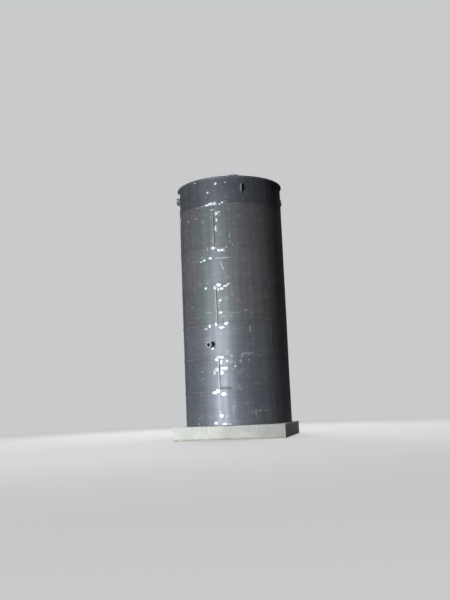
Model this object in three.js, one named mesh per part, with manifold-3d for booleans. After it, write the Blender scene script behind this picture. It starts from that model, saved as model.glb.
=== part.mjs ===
// Vertical storage tank: a welded steel cylinder of seven plate courses on a square concrete plinth.
// Millimetres, +Z up. The origin is the middle of the plinth's underside.
// An azimuth is measured at the tank's axis, in degrees, from the front (-Y) towards the right (+X).

import * as THREE from 'three';
import { mergeVertices } from 'three/addons/utils/BufferGeometryUtils.js';
import Module from 'manifold-3d';

const wasm = await Module();
wasm.setup();

// Driving dimensions
const SHELL_RADIUS = 2450;            // outside of the shell plates
const SHELL_THICKNESS = 8;
const COURSE_HEIGHTS = [1480, 1500, 1480, 1740, 1690, 2030, 1270];   // from the bottom up
const PLATES_PER_COURSE = 3;
const SEAM_AZIMUTH = -7;           // an upright seam of the even courses
const FACET_ANGLE = 5;                // one flat facet of the round plates
const FACET_START = -9;            // an edge between facets: each lug sits mid-facet
const SEAM_GAP = 0.3;                 // between two plates of a course
const FIT_GAP = 0.3;                  // between a fitted piece and what carries it

const PLINTH_SIDE = 4980;
const PLINTH_HEIGHT = 600;
const PLINTH_CHAMFER = 20;

const FLOOR_RADIUS = 2475;
const FLOOR_THICKNESS = 10;

const CURB_LEG = 65;                  // equal legs of the rim angle
const CURB_THICKNESS = 8;

const ROOF_SLOPE = 1 / 6;
const ROOF_THICKNESS = 6;
const ROOF_RADIUS = 2495;

const MANHOLE_AZIMUTH = 20;
const MANHOLE_OFFSET = 1350;          // from the tank's axis
const MANHOLE_NECK_RADIUS = 228.5;
const MANHOLE_NECK_WALL = 8;
const MANHOLE_FLANGE_RADIUS = 280;
const MANHOLE_FLANGE_THICKNESS = 12;
const MANHOLE_COVER_THICKNESS = 12;
const MANHOLE_RISE = 342;             // top of the cover above the rim

const VENT_PIPE_RADIUS = 44.5;
const VENT_PIPE_WALL = 5;
const VENT_STRAIGHT = 150;            // upright pipe above the top of the cone
const VENT_BEND_RADIUS = 100;
const VENT_BELOW = 40;                // pipe inside the tank
const VENT_AZIMUTH = 180;             // the gooseneck looks away from the front

const NOZZLE_AZIMUTH = -14.8;
const NOZZLE_HEIGHT = 3545;           // axis above the bottom of the shell
const NOZZLE_PROJECTION = 300;        // flange face out from the shell
const NOZZLE_NECK_RADIUS = 84.15;
const NOZZLE_NECK_WALL = 7.1;
const NOZZLE_FLANGE_RADIUS = 140;
const NOZZLE_FLANGE_THICKNESS = 25;
const NOZZLE_PAD_RADIUS = 190;
const NOZZLE_PAD_THICKNESS = 8;

const LUG_AZIMUTHS = [23.5, 113.5, 203.5, 293.5];
const LUG_THICKNESS = 20;
const LUG_REACH = 155;
const LUG_HEIGHT = 385;
const LUG_DROP = 400;                 // top of the lug below the rim
const LUG_HOLE_RADIUS = 30;

// Levels worked out from them
const SHELL_BOTTOM = PLINTH_HEIGHT + FLOOR_THICKNESS;
const RIM = SHELL_BOTTOM + COURSE_HEIGHTS.reduce((sum, height) => sum + height, 0);
const ROOF_APEX = RIM + ROOF_RADIUS * ROOF_SLOPE;
const FULL_TURN_FACETS = 360 / FACET_ANGLE;
const FACET_FLAT = Math.cos(THREE.MathUtils.degToRad(FACET_ANGLE / 2));

// Finishes: dark mill-scaled steel, bluer steel on the top course, rusted trim, pale concrete
const steelMaterial = new THREE.MeshStandardMaterial({ color: 0x55524f, roughness: 0.45, metalness: 0.6 });
const topSteelMaterial = new THREE.MeshStandardMaterial({ color: 0x56575e, roughness: 0.5, metalness: 0.6 });
const trimMaterial = new THREE.MeshStandardMaterial({ color: 0x5f4f45, roughness: 0.6, metalness: 0.5 });
const roofMaterial = new THREE.MeshStandardMaterial({ color: 0x5a5856, roughness: 0.5, metalness: 0.6 });
const concreteMaterial = new THREE.MeshStandardMaterial({ color: 0xc4c4bd, roughness: 0.9, metalness: 0 });

const tank = new THREE.Group();

function addPiece(parent, name, geometry, material) {
  const mesh = new THREE.Mesh(geometry, material);
  mesh.name = name;
  parent.add(mesh);
  return mesh;
}

function toSolid(geometry) {
  const plain = geometry.index ? geometry.toNonIndexed() : geometry.clone();
  plain.deleteAttribute('normal');
  plain.deleteAttribute('uv');
  const merged = mergeVertices(plain);
  return new wasm.Manifold(new wasm.Mesh({
    numProp: 3,
    vertProperties: new Float32Array(merged.attributes.position.array),
    triVerts: new Uint32Array(merged.index.array),
  }));
}

function toGeometry(solid) {
  const mesh = solid.getMesh();
  const geometry = new THREE.BufferGeometry();
  geometry.setAttribute('position', new THREE.BufferAttribute(mesh.vertProperties, 3));
  geometry.setIndex(new THREE.BufferAttribute(mesh.triVerts, 1));
  geometry.computeVertexNormals();
  return geometry;
}

function pointAt(azimuth, radius) {
  const angle = THREE.MathUtils.degToRad(azimuth);
  return new THREE.Vector2(radius * Math.sin(angle), -radius * Math.cos(angle));
}

// A point on the faceted round: between two facet edges it lies on the flat that joins them
function pointOnFacets(azimuth, radius) {
  const turns = (azimuth - FACET_START) / FACET_ANGLE;
  const offMiddle = (turns - Math.floor(turns) - 0.5) * FACET_ANGLE;
  return pointAt(azimuth, radius * FACET_FLAT / Math.cos(THREE.MathUtils.degToRad(offMiddle)));
}

// A closed profile of [radius, height] points turned about Z, its facets in line with the shell's
function turned(profile, segments = FULL_TURN_FACETS) {
  const points = profile.map(([radius, height]) => new THREE.Vector2(radius, height));
  const start = THREE.MathUtils.degToRad(FACET_START);
  return new THREE.LatheGeometry([...points, points[0]], segments, start).rotateX(Math.PI / 2);
}

// An upright disc or bar about Z, its facets in line with those of turned pieces
function upright(radius, bottom, top, segments) {
  const start = THREE.MathUtils.degToRad(FACET_START);
  const disc = new THREE.CylinderGeometry(radius, radius, top - bottom, segments, 1, false, start);
  return disc.rotateX(Math.PI / 2).translate(0, 0, (bottom + top) / 2);
}

// A round bar along +X from one distance to another, for nozzle parts and for cutting holes
function roundBar(radius, from, to, segments) {
  const bar = new THREE.CylinderGeometry(radius, radius, to - from, segments);
  return bar.rotateZ(Math.PI / 2).translate((from + to) / 2, 0, 0);
}

// A group whose X axis points out of the shell at an azimuth
function outwardGroup(azimuth, height) {
  const group = new THREE.Group();
  group.rotation.z = THREE.MathUtils.degToRad(azimuth - 90);
  group.position.z = height;
  tank.add(group);
  return group;
}

// Plinth: one block with chamfered top edges
function plinth() {
  const corner = PLINTH_SIDE * Math.SQRT1_2;
  const chamferedCorner = corner - PLINTH_CHAMFER * Math.SQRT2;
  const profile = [
    new THREE.Vector2(0, 0),
    new THREE.Vector2(corner, 0),
    new THREE.Vector2(corner, PLINTH_HEIGHT - PLINTH_CHAMFER),
    new THREE.Vector2(chamferedCorner, PLINTH_HEIGHT),
    new THREE.Vector2(0, PLINTH_HEIGHT),
  ];
  return new THREE.LatheGeometry(profile, 4, Math.PI / 4).rotateX(Math.PI / 2);
}

// Bottom plate: a disc that reaches a little past the shell
function floorPlate() {
  return upright(FLOOR_RADIUS, PLINTH_HEIGHT, SHELL_BOTTOM, FULL_TURN_FACETS);
}

// One rolled shell plate, from one upright seam to the next
function shellPlate(startAzimuth, height) {
  const seamHalf = THREE.MathUtils.radToDeg(SEAM_GAP / 2 / SHELL_RADIUS);
  const start = startAzimuth + seamHalf;
  const end = startAzimuth + 360 / PLATES_PER_COURSE - seamHalf;
  const azimuths = [start];
  const firstEdge = Math.ceil((start - FACET_START) / FACET_ANGLE);
  for (let edge = firstEdge; FACET_START + edge * FACET_ANGLE < end; edge += 1) {
    azimuths.push(FACET_START + edge * FACET_ANGLE);
  }
  azimuths.push(end);
  const inner = azimuths.map((azimuth) => pointOnFacets(azimuth, SHELL_RADIUS - SHELL_THICKNESS));
  const outer = azimuths.map((azimuth) => pointOnFacets(azimuth, SHELL_RADIUS));
  const outline = new THREE.Shape([...outer, ...inner.reverse()]);
  return new THREE.ExtrudeGeometry(outline, { depth: height, bevelEnabled: false });
}

// A hole through whatever the nozzle crosses, seen from the piece's own level
function nozzleCutter(radius, level) {
  const cutter = roundBar(radius, SHELL_RADIUS - 200, SHELL_RADIUS + 200, 32);
  cutter.rotateZ(THREE.MathUtils.degToRad(NOZZLE_AZIMUTH - 90));
  return toSolid(cutter.translate(0, 0, level));
}

// Shell: courses of three plates, every other course turned by half a plate
function addShell() {
  const span = 360 / PLATES_PER_COURSE;
  const nozzleCourse = 2;
  let bottom = SHELL_BOTTOM;
  COURSE_HEIGHTS.forEach((height, course) => {
    const turn = course % 2 === 0 ? span / 2 : 0;
    const isTop = course === COURSE_HEIGHTS.length - 1;
    for (let plate = 0; plate < PLATES_PER_COURSE; plate += 1) {
      const start = SEAM_AZIMUTH - turn + plate * span;
      let geometry = shellPlate(start, height);
      if (course === nozzleCourse && start < NOZZLE_AZIMUTH && NOZZLE_AZIMUTH < start + span) {
        const level = SHELL_BOTTOM + NOZZLE_HEIGHT - bottom;
        const cut = toSolid(geometry).subtract(nozzleCutter(NOZZLE_NECK_RADIUS + FIT_GAP, level));
        geometry = toGeometry(cut);
      }
      const name = `shell_${course + 1}_plate_${plate + 1}`;
      const mesh = addPiece(tank, name, geometry, isTop ? topSteelMaterial : steelMaterial);
      mesh.position.z = bottom;
    }
    bottom += height;
  });
}

// Rim angle: one leg lies against the shell, the other reaches out level with the rim
function topCurbAngle() {
  const inside = SHELL_RADIUS + FIT_GAP;
  return turned([
    [inside, RIM - CURB_LEG],
    [inside + CURB_THICKNESS, RIM - CURB_LEG],
    [inside + CURB_THICKNESS, RIM - CURB_THICKNESS],
    [inside + CURB_LEG, RIM - CURB_THICKNESS],
    [inside + CURB_LEG, RIM],
    [inside, RIM],
  ]);
}

// Roof: a low cone that rests on the rim angle, open for the vent pipe and the manhole neck
function roofCone() {
  const ventHole = VENT_PIPE_RADIUS + FIT_GAP;
  const undersideAt = (radius) => ROOF_APEX - radius * ROOF_SLOPE;
  const cone = toSolid(turned([
    [ventHole, undersideAt(ventHole)],
    [ROOF_RADIUS, RIM],
    [ROOF_RADIUS, RIM + ROOF_THICKNESS],
    [ventHole, undersideAt(ventHole) + ROOF_THICKNESS],
  ]));
  const centre = pointAt(MANHOLE_AZIMUTH, MANHOLE_OFFSET);
  const holeRadius = MANHOLE_NECK_RADIUS + FIT_GAP;
  const cutter = upright(holeRadius, RIM - 500, RIM + 500, 32).translate(centre.x, centre.y, 0);
  return toGeometry(cone.subtract(toSolid(cutter)));
}

// Roof manhole: a short neck with a ring flange, and a flat cover on it
function addRoofManhole() {
  const centre = pointAt(MANHOLE_AZIMUTH, MANHOLE_OFFSET);
  const coverTop = RIM + MANHOLE_RISE;
  const flangeTop = coverTop - MANHOLE_COVER_THICKNESS;
  const neckBottom = ROOF_APEX - (MANHOLE_OFFSET + MANHOLE_NECK_RADIUS) * ROOF_SLOPE - 40;
  const bore = MANHOLE_NECK_RADIUS - MANHOLE_NECK_WALL;
  const neck = turned([
    [bore, neckBottom],
    [MANHOLE_NECK_RADIUS, neckBottom],
    [MANHOLE_NECK_RADIUS, flangeTop - MANHOLE_FLANGE_THICKNESS],
    [MANHOLE_FLANGE_RADIUS, flangeTop - MANHOLE_FLANGE_THICKNESS],
    [MANHOLE_FLANGE_RADIUS, flangeTop],
    [bore, flangeTop],
  ], 32);
  const cover = upright(MANHOLE_FLANGE_RADIUS, flangeTop, coverTop, 32);
  const neckMesh = addPiece(tank, 'roof_manhole_neck', neck, roofMaterial);
  const coverMesh = addPiece(tank, 'roof_manhole_cover', cover, roofMaterial);
  neckMesh.position.set(centre.x, centre.y, 0);
  coverMesh.position.set(centre.x, centre.y, 0);
}

// Vent: an upright pipe through the top of the cone, and a return bend on it that opens downwards
function addRoofVent() {
  const bore = VENT_PIPE_RADIUS - VENT_PIPE_WALL;
  const pipeTop = ROOF_APEX + VENT_STRAIGHT;
  const pipe = turned([
    [bore, ROOF_APEX - VENT_BELOW],
    [VENT_PIPE_RADIUS, ROOF_APEX - VENT_BELOW],
    [VENT_PIPE_RADIUS, pipeTop],
    [bore, pipeTop],
  ], 24);
  addPiece(tank, 'roof_vent_pipe', pipe, trimMaterial);

  // The bend is two elbows, butted at its highest point
  const ring = (tubeRadius) => toSolid(new THREE.TorusGeometry(VENT_BEND_RADIUS, tubeRadius, 16, 24)
    .rotateY(Math.PI / 2));
  const lowerHalf = toSolid(new THREE.BoxGeometry(1000, 1000, 500).translate(0, 0, -250));
  const bend = ring(VENT_PIPE_RADIUS).subtract(ring(bore)).subtract(lowerHalf);
  const centre = pointAt(VENT_AZIMUTH, VENT_BEND_RADIUS);
  [1, -1].forEach((farSide, index) => {
    const otherElbow = toSolid(new THREE.BoxGeometry(1000, 1000, 1000).translate(0, farSide * 500, 0));
    const elbow = toGeometry(bend.subtract(otherElbow));
    const mesh = addPiece(tank, `roof_vent_elbow_${index + 1}`, elbow, trimMaterial);
    mesh.position.set(centre.x, centre.y - farSide * FIT_GAP / 2, pipeTop + FIT_GAP);
  });
}

// Nozzle: a neck through the shell, a slip-on flange with an open bore, and a pad on the shell
function addNozzle() {
  const nozzle = outwardGroup(NOZZLE_AZIMUTH, SHELL_BOTTOM + NOZZLE_HEIGHT);
  const face = SHELL_RADIUS + NOZZLE_PROJECTION;
  const neckStart = SHELL_RADIUS - SHELL_THICKNESS - 12;
  const bore = NOZZLE_NECK_RADIUS - NOZZLE_NECK_WALL;
  const neckEnd = face - 6;

  const neck = toSolid(roundBar(NOZZLE_NECK_RADIUS, neckStart, neckEnd, 32))
    .subtract(toSolid(roundBar(bore, neckStart - 10, neckEnd + 10, 32)));
  addPiece(nozzle, 'nozzle_neck', toGeometry(neck), trimMaterial);

  const flangeBore = NOZZLE_NECK_RADIUS + FIT_GAP;
  const flange = toSolid(roundBar(NOZZLE_FLANGE_RADIUS, face - NOZZLE_FLANGE_THICKNESS, face, 48))
    .subtract(toSolid(roundBar(flangeBore, face - 100, face + 10, 32)));
  addPiece(nozzle, 'nozzle_flange', toGeometry(flange), trimMaterial);

  const level = SHELL_BOTTOM + NOZZLE_HEIGHT;
  const padRing = toSolid(turned([
    [SHELL_RADIUS + FIT_GAP, level - 300],
    [SHELL_RADIUS + FIT_GAP + NOZZLE_PAD_THICKNESS, level - 300],
    [SHELL_RADIUS + FIT_GAP + NOZZLE_PAD_THICKNESS, level + 300],
    [SHELL_RADIUS + FIT_GAP, level + 300],
  ]));
  const pad = padRing
    .intersect(nozzleCutter(NOZZLE_PAD_RADIUS, level))
    .subtract(nozzleCutter(NOZZLE_NECK_RADIUS + FIT_GAP, level));
  addPiece(tank, 'nozzle_pad', toGeometry(pad), trimMaterial);
}

// Lifting lug: an upright plate on edge against the shell, with a shackle hole
function liftingLug() {
  const slope = 90;
  const outline = new THREE.Shape();
  outline.moveTo(0, 0);
  outline.lineTo(LUG_REACH * 0.35, 0);
  outline.lineTo(LUG_REACH, slope);
  outline.lineTo(LUG_REACH, LUG_HEIGHT - 60);
  outline.absarc(LUG_REACH - 60, LUG_HEIGHT - 60, 60, 0, Math.PI / 2, false);
  outline.lineTo(0, LUG_HEIGHT);
  const hole = new THREE.Path();
  hole.absarc(LUG_REACH - 65, LUG_HEIGHT - 100, LUG_HOLE_RADIUS, 0, Math.PI * 2, true);
  outline.holes.push(hole);
  const plate = new THREE.ExtrudeGeometry(outline, {
    depth: LUG_THICKNESS, bevelEnabled: false, curveSegments: 8,
  });
  return plate.rotateX(Math.PI / 2).translate(0, LUG_THICKNESS / 2, 0);
}

function addLiftingLugs() {
  const seat = SHELL_RADIUS * FACET_FLAT + FIT_GAP;
  LUG_AZIMUTHS.forEach((azimuth, index) => {
    const group = outwardGroup(azimuth, RIM - LUG_DROP - LUG_HEIGHT);
    const lug = addPiece(group, `lifting_lug_${index + 1}`, liftingLug(), trimMaterial);
    lug.position.x = seat;
  });
}

addPiece(tank, 'plinth', plinth(), concreteMaterial);
addPiece(tank, 'floor_plate', floorPlate(), steelMaterial);
addShell();
addPiece(tank, 'top_curb_angle', topCurbAngle(), steelMaterial);
addPiece(tank, 'roof_cone', roofCone(), roofMaterial);
addRoofManhole();
addRoofVent();
addNozzle();
addLiftingLugs();

export default tank;
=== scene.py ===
# Vertical storage tank on a concrete plinth: the finish of every piece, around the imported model.
# Metres, +Z up. An azimuth is measured at the tank's axis, in degrees, from the front (-Y) towards +X.
import math
import random

import bmesh
import bpy
from mathutils import Matrix, Vector, noise


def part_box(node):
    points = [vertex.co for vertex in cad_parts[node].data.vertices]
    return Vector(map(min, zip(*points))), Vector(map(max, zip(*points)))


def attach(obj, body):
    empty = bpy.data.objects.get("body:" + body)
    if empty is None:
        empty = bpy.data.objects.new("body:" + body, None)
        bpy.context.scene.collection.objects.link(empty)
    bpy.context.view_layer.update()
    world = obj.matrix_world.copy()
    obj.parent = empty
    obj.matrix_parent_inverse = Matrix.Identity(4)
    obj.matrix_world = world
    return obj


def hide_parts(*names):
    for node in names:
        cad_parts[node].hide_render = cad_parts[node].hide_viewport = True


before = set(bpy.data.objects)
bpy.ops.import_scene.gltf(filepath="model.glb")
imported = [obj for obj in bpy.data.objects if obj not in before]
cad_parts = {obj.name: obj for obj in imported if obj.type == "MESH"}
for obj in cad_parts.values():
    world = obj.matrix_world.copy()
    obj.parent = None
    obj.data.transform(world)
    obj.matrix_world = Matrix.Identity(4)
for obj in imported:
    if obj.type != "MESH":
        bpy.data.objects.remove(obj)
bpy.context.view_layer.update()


# Plinth
# One block of concrete, cast between flat shutters and struck off level on top. Its top edges are
# chamfered, low fins and changes of tone show where the shutters met, and the edges have lost chips.
PLINTH_CHAMFER = 0.02
PLINTH_CELL = 0.1
SHUTTER_WIDTH = 1.25
FIRST_JOINT = -2.25              # of the joints between shutters, along each side
FIN_HALF_WIDTH = 0.01
SKIN_DEPTH = 0.003               # the cast faces lie this far behind the fins
CHIP_DEPTH = 0.03
HAIR = 0.001                     # near enough to count as on a plane


def add_piece(name, shape, finish, slot, *nodes, sharp=38):
    """Makes the shape an object that is fixed to the tank, in place of its CAD nodes."""
    for face in shape.faces:
        face.smooth = True
    for edge in shape.edges:
        edge.smooth = edge.calc_face_angle(math.pi) < math.radians(sharp)
    mesh = bpy.data.meshes.new(name)
    shape.to_mesh(mesh)
    shape.free()
    mesh.materials.append(finish)
    piece = bpy.data.objects.new(name, mesh)
    bpy.context.scene.collection.objects.link(piece)
    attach(piece, "root")
    if nodes:
        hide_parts(*nodes)
    return piece


def move(shape, by):
    bmesh.ops.translate(shape, vec=by, verts=shape.verts)


def bevel_edges(shape, edges, width, segments=1):
    bmesh.ops.bevel(shape, geom=edges, offset=width, affect="EDGES", segments=segments, profile=0.5,
                    material=-1)


def add_node(tree, kind, inputs=None, **settings):
    """Adds a shader node, with its inputs linked or set."""
    made = tree.nodes.new(kind)
    for setting, value in settings.items():
        setattr(made, setting, value)
    for socket, value in (inputs or {}).items():
        if isinstance(value, bpy.types.NodeSocket):
            tree.links.new(value, made.inputs[socket])
        else:
            made.inputs[socket].default_value = value
    return made


def spread(tree, value, low, high, start=0.0, end=1.0):
    """A smooth step: start where the value is under the low level, end where it is over the high one."""
    levels = {"Value": value, "From Min": low, "From Max": high, "To Min": start, "To Max": end}
    return add_node(tree, "ShaderNodeMapRange", levels, interpolation_type="SMOOTHSTEP").outputs[0]


def cloud(tree, place, scale, detail, low, high, start=0.0, end=1.0, stretch=(1, 1, 1)):
    """Noise of a scale, drawn out along an axis if wanted, spread between two levels."""
    drawn = add_node(tree, "ShaderNodeMapping", {"Vector": place, "Scale": stretch}).outputs[0]
    settings = {"Vector": drawn, "Scale": scale, "Detail": detail, "Roughness": 0.62}
    return spread(tree, add_node(tree, "ShaderNodeTexNoise", settings).outputs[0], low, high, start, end)


def calculate(tree, operation, first, second=0.0, third=0.0):
    return add_node(tree, "ShaderNodeMath", {0: first, 1: second, 2: third}, operation=operation).outputs[0]


def mix_colours(tree, share, first, second, way="MIX"):
    sockets = {0: share, 6: first, 7: second}
    return add_node(tree, "ShaderNodeMix", sockets, data_type="RGBA", blend_type=way).outputs[2]


def tone(tree, colour, factor):
    """The colour, made darker or lighter by a factor that changes over the surface."""
    return add_node(tree, "ShaderNodeVectorMath", {0: colour, "Scale": factor}, operation="SCALE").outputs[0]


def new_finish(name, metallic):
    finish = bpy.data.materials.new(name)
    finish.use_nodes = True
    tree = finish.node_tree
    shader = tree.nodes["Principled BSDF"]
    shader.inputs["Metallic"].default_value = metallic
    place = add_node(tree, "ShaderNodeTexCoord").outputs["Object"]
    return finish, tree, shader, place


def finish_surface(tree, shader, colour, roughness, height, depth):
    """Links colour and roughness to the shader, and a height as a bump of a depth in metres."""
    tree.links.new(colour, shader.inputs["Base Color"])
    tree.links.new(roughness, shader.inputs["Roughness"])
    bump = add_node(tree, "ShaderNodeBump", {"Height": height, "Distance": depth})
    tree.links.new(bump.outputs[0], shader.inputs["Normal"])


def cast_concrete(top):
    finish, tree, shader, place = new_finish("cast_concrete", 0.0)
    parts = add_node(tree, "ShaderNodeSeparateXYZ", {0: place}).outputs
    across = [calculate(tree, "FLOOR", calculate(tree, "MULTIPLY_ADD", part, 1 / SHUTTER_WIDTH, -FIRST_JOINT))
              for part in parts[:2]]
    shutter = add_node(tree, "ShaderNodeCombineXYZ", {0: across[0], 1: across[1]}).outputs[0]
    panel = add_node(tree, "ShaderNodeTexWhiteNoise", {"Vector": shutter}, noise_dimensions="3D").outputs[0]
    panel_tone = spread(tree, panel, 0.0, 1.0, 0.93, 1.04)
    blotches = cloud(tree, place, 1.4, 8, 0.36, 0.66)
    colour = mix_colours(tree, blotches, (0.585, 0.565, 0.51, 1), (0.50, 0.485, 0.435, 1))
    colour = tone(tree, colour, panel_tone)
    # Darker towards +X, on the side away from the low lamp: painted shade.
    colour = tone(tree, colour, spread(tree, parts[0], 0.1, 1.8, 1.0, 0.68))
    colour = tone(tree, colour, cloud(tree, place, 70, 6, 0.3, 0.7, 0.93, 1.05))
    runs = cloud(tree, place, 1.0, 5, 0.5, 0.72, stretch=(7, 7, 0.5))
    runs = calculate(tree, "MULTIPLY", runs, spread(tree, parts[2], top - 0.5, top - 0.02))
    colour = mix_colours(tree, calculate(tree, "MULTIPLY", runs, 0.35), colour, (0.30, 0.30, 0.27, 1))
    uneven = calculate(tree, "MULTIPLY_ADD", cloud(tree, place, 5, 6, 0.2, 0.8), 0.10, parts[2])
    soil = spread(tree, uneven, 0.06, 0.16, 0.75, 0.0)
    colour = mix_colours(tree, soil, colour, (0.27, 0.22, 0.16, 1))
    flat = add_node(tree, "ShaderNodeVectorMath", {0: place, 1: (1, 1, 0)}, operation="MULTIPLY").outputs[0]
    reach = add_node(tree, "ShaderNodeVectorMath", {0: flat}, operation="LENGTH").outputs[1]
    washed = calculate(tree, "MULTIPLY_ADD", cloud(tree, place, 6, 7, 0.2, 0.8), 0.30, reach)
    on_top = spread(tree, parts[2], top - 0.03, top - 0.015)
    rusty = calculate(tree, "MULTIPLY", spread(tree, washed, 2.55, 2.85, 0.6, 0.0), on_top)
    colour = mix_colours(tree, rusty, colour, (0.23, 0.13, 0.07, 1))
    holes = add_node(tree, "ShaderNodeTexVoronoi", {"Vector": place, "Scale": 26}).outputs["Distance"]
    pores = spread(tree, holes, 0.10, 0.16)
    pores = calculate(tree, "MAXIMUM", pores, cloud(tree, place, 3, 3, 0.42, 0.52))
    # Darker in the pores, which the bump sinks: painted shade in them.
    colour = tone(tree, colour, spread(tree, pores, 0, 1, 0.6, 1.0))
    height = calculate(tree, "MULTIPLY_ADD", cloud(tree, place, 45, 8, 0.2, 0.8), 0.35, pores)
    roughness = cloud(tree, place, 9, 4, 0.3, 0.7, 0.82, 0.94)
    finish_surface(tree, shader, colour, roughness, height, 0.003)
    return finish


def slice_across(shape, axis, places):
    """Cuts the faces along planes square to an axis, so that they can be shaped finely."""
    direction = Matrix.Identity(3)[axis]
    for place in places:
        everything = shape.verts[:] + shape.edges[:] + shape.faces[:]
        bmesh.ops.bisect_plane(shape, geom=everything, plane_co=direction * place, plane_no=direction)


def steps_between(low, high, cell):
    count = max(1, round((high - low) / cell))
    return [low + (high - low) * step / count for step in range(1, count)]


plinth_low, plinth_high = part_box("plinth")
plinth = bmesh.new()
bmesh.ops.create_cube(plinth, size=1)
bmesh.ops.scale(plinth, vec=plinth_high - plinth_low, verts=plinth.verts)
move(plinth, (plinth_low + plinth_high) / 2)
top_edges = [edge for edge in plinth.edges if min(vert.co.z for vert in edge.verts) > plinth_high.z - HAIR]
bevel_edges(plinth, top_edges, PLINTH_CHAMFER, 2)
joints = [FIRST_JOINT + SHUTTER_WIDTH * number for number in range(4)]
for axis in (0, 1):
    slice_across(plinth, axis, steps_between(plinth_low[axis], plinth_high[axis], PLINTH_CELL))
    slice_across(plinth, axis, [joint + side for joint in joints
                                for side in (-FIN_HALF_WIDTH, 0, FIN_HALF_WIDTH)])
slice_across(plinth, 2, steps_between(plinth_low.z, plinth_high.z - PLINTH_CHAMFER, PLINTH_CELL))
for vert in plinth.verts:
    place = vert.co.copy()
    inward = Vector((0, 0, 0))
    for axis in (0, 1):
        if abs(place[axis]) > plinth_high[axis] - HAIR:
            inward[axis] = -math.copysign(1, place[axis])
    along = place.y if inward.x else place.x
    on_fin = min(abs(along - joint) for joint in joints) < HAIR
    if inward.length > 0 and not on_fin:
        vert.co += inward * SKIN_DEPTH * (0.7 + 0.3 * noise.noise(place * 1.7))
    if place.z > plinth_high.z - HAIR:
        vert.co.z -= SKIN_DEPTH * (0.5 + 0.5 * noise.noise(place * 1.1))
    near_edge = max(abs(place.x), abs(place.y)) > plinth_high.x - PLINTH_CHAMFER - HAIR
    if near_edge and place.z > plinth_high.z - PLINTH_CHAMFER - HAIR:
        chip = CHIP_DEPTH * max(0.0, noise.noise(place * 5.3) - 0.3)
        vert.co -= chip * Vector((place.x, place.y, plinth_high.x)).normalized()
add_piece("cast_plinth", plinth, cast_concrete(plinth_high.z), "concrete", "plinth")


# Floor plate
# A flame-cut steel disc that lies on the plinth and reaches a little past the shell. Its edge is rough
# from the torch. A fillet weld joins it to the foot of the shell all the way round.
SHELL_RADIUS = 2.45
FLOOR_EDGE_COLUMNS = 180
TORCH_DEPTH = 0.0015
FILLET_LEG = 0.012
EDGE_BREAK = 0.0015              # taken off the sharp edges of plate
RUFFLE_SEED = 17                 # keeps uneven metal the same on each run


def point_at(azimuth, radius, height):
    angle = math.radians(azimuth)
    return Vector((radius * math.sin(angle), -radius * math.cos(angle), height))


def azimuth_of(place):
    return math.degrees(math.atan2(place.x, -place.y))


def turned_ring(profile, columns):
    """A closed profile of (radius, height) points, turned once round Z."""
    ring = bmesh.new()
    corners = [ring.verts.new((0, -radius, height)) for radius, height in profile]
    sides = [ring.edges.new((corners[number - 1], corners[number])) for number in range(len(corners))]
    bmesh.ops.spin(ring, geom=corners + sides, cent=(0, 0, 0), axis=(0, 0, 1), angle=2 * math.pi,
                   steps=columns, use_merge=True)
    bmesh.ops.remove_doubles(ring, verts=ring.verts, dist=0.00001)
    on_axis = [edge for edge in ring.edges if edge.is_wire]
    bmesh.ops.delete(ring, geom=on_axis, context="EDGES")
    bmesh.ops.recalc_face_normals(ring, faces=ring.faces)
    return ring


noise.seed_set(RUFFLE_SEED)


def ruffle(shape, amount, scale):
    """Moves every point a little, as noise says, so that weld metal and torch cuts are uneven."""
    for vert in shape.verts:
        vert.co += noise.noise_vector(vert.co * scale) * amount
    return shape


def new_group(name, inputs, outputs):
    """A shader node group with named sockets, each given as its name and kind."""
    group = bpy.data.node_groups.new(name, "ShaderNodeTree")
    for label, kind in inputs:
        group.interface.new_socket(label, in_out="INPUT", socket_type="NodeSocket" + kind)
    for label, kind in outputs:
        group.interface.new_socket(label, in_out="OUTPUT", socket_type="NodeSocket" + kind)
    return group, group.nodes.new("NodeGroupInput").outputs, group.nodes.new("NodeGroupOutput").inputs


def use_group(tree, group, inputs):
    made = add_node(tree, "ShaderNodeGroup", node_tree=group)
    for socket, value in inputs.items():
        if isinstance(value, bpy.types.NodeSocket):
            tree.links.new(value, made.inputs[socket])
        else:
            made.inputs[socket].default_value = value
    return made.outputs


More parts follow.
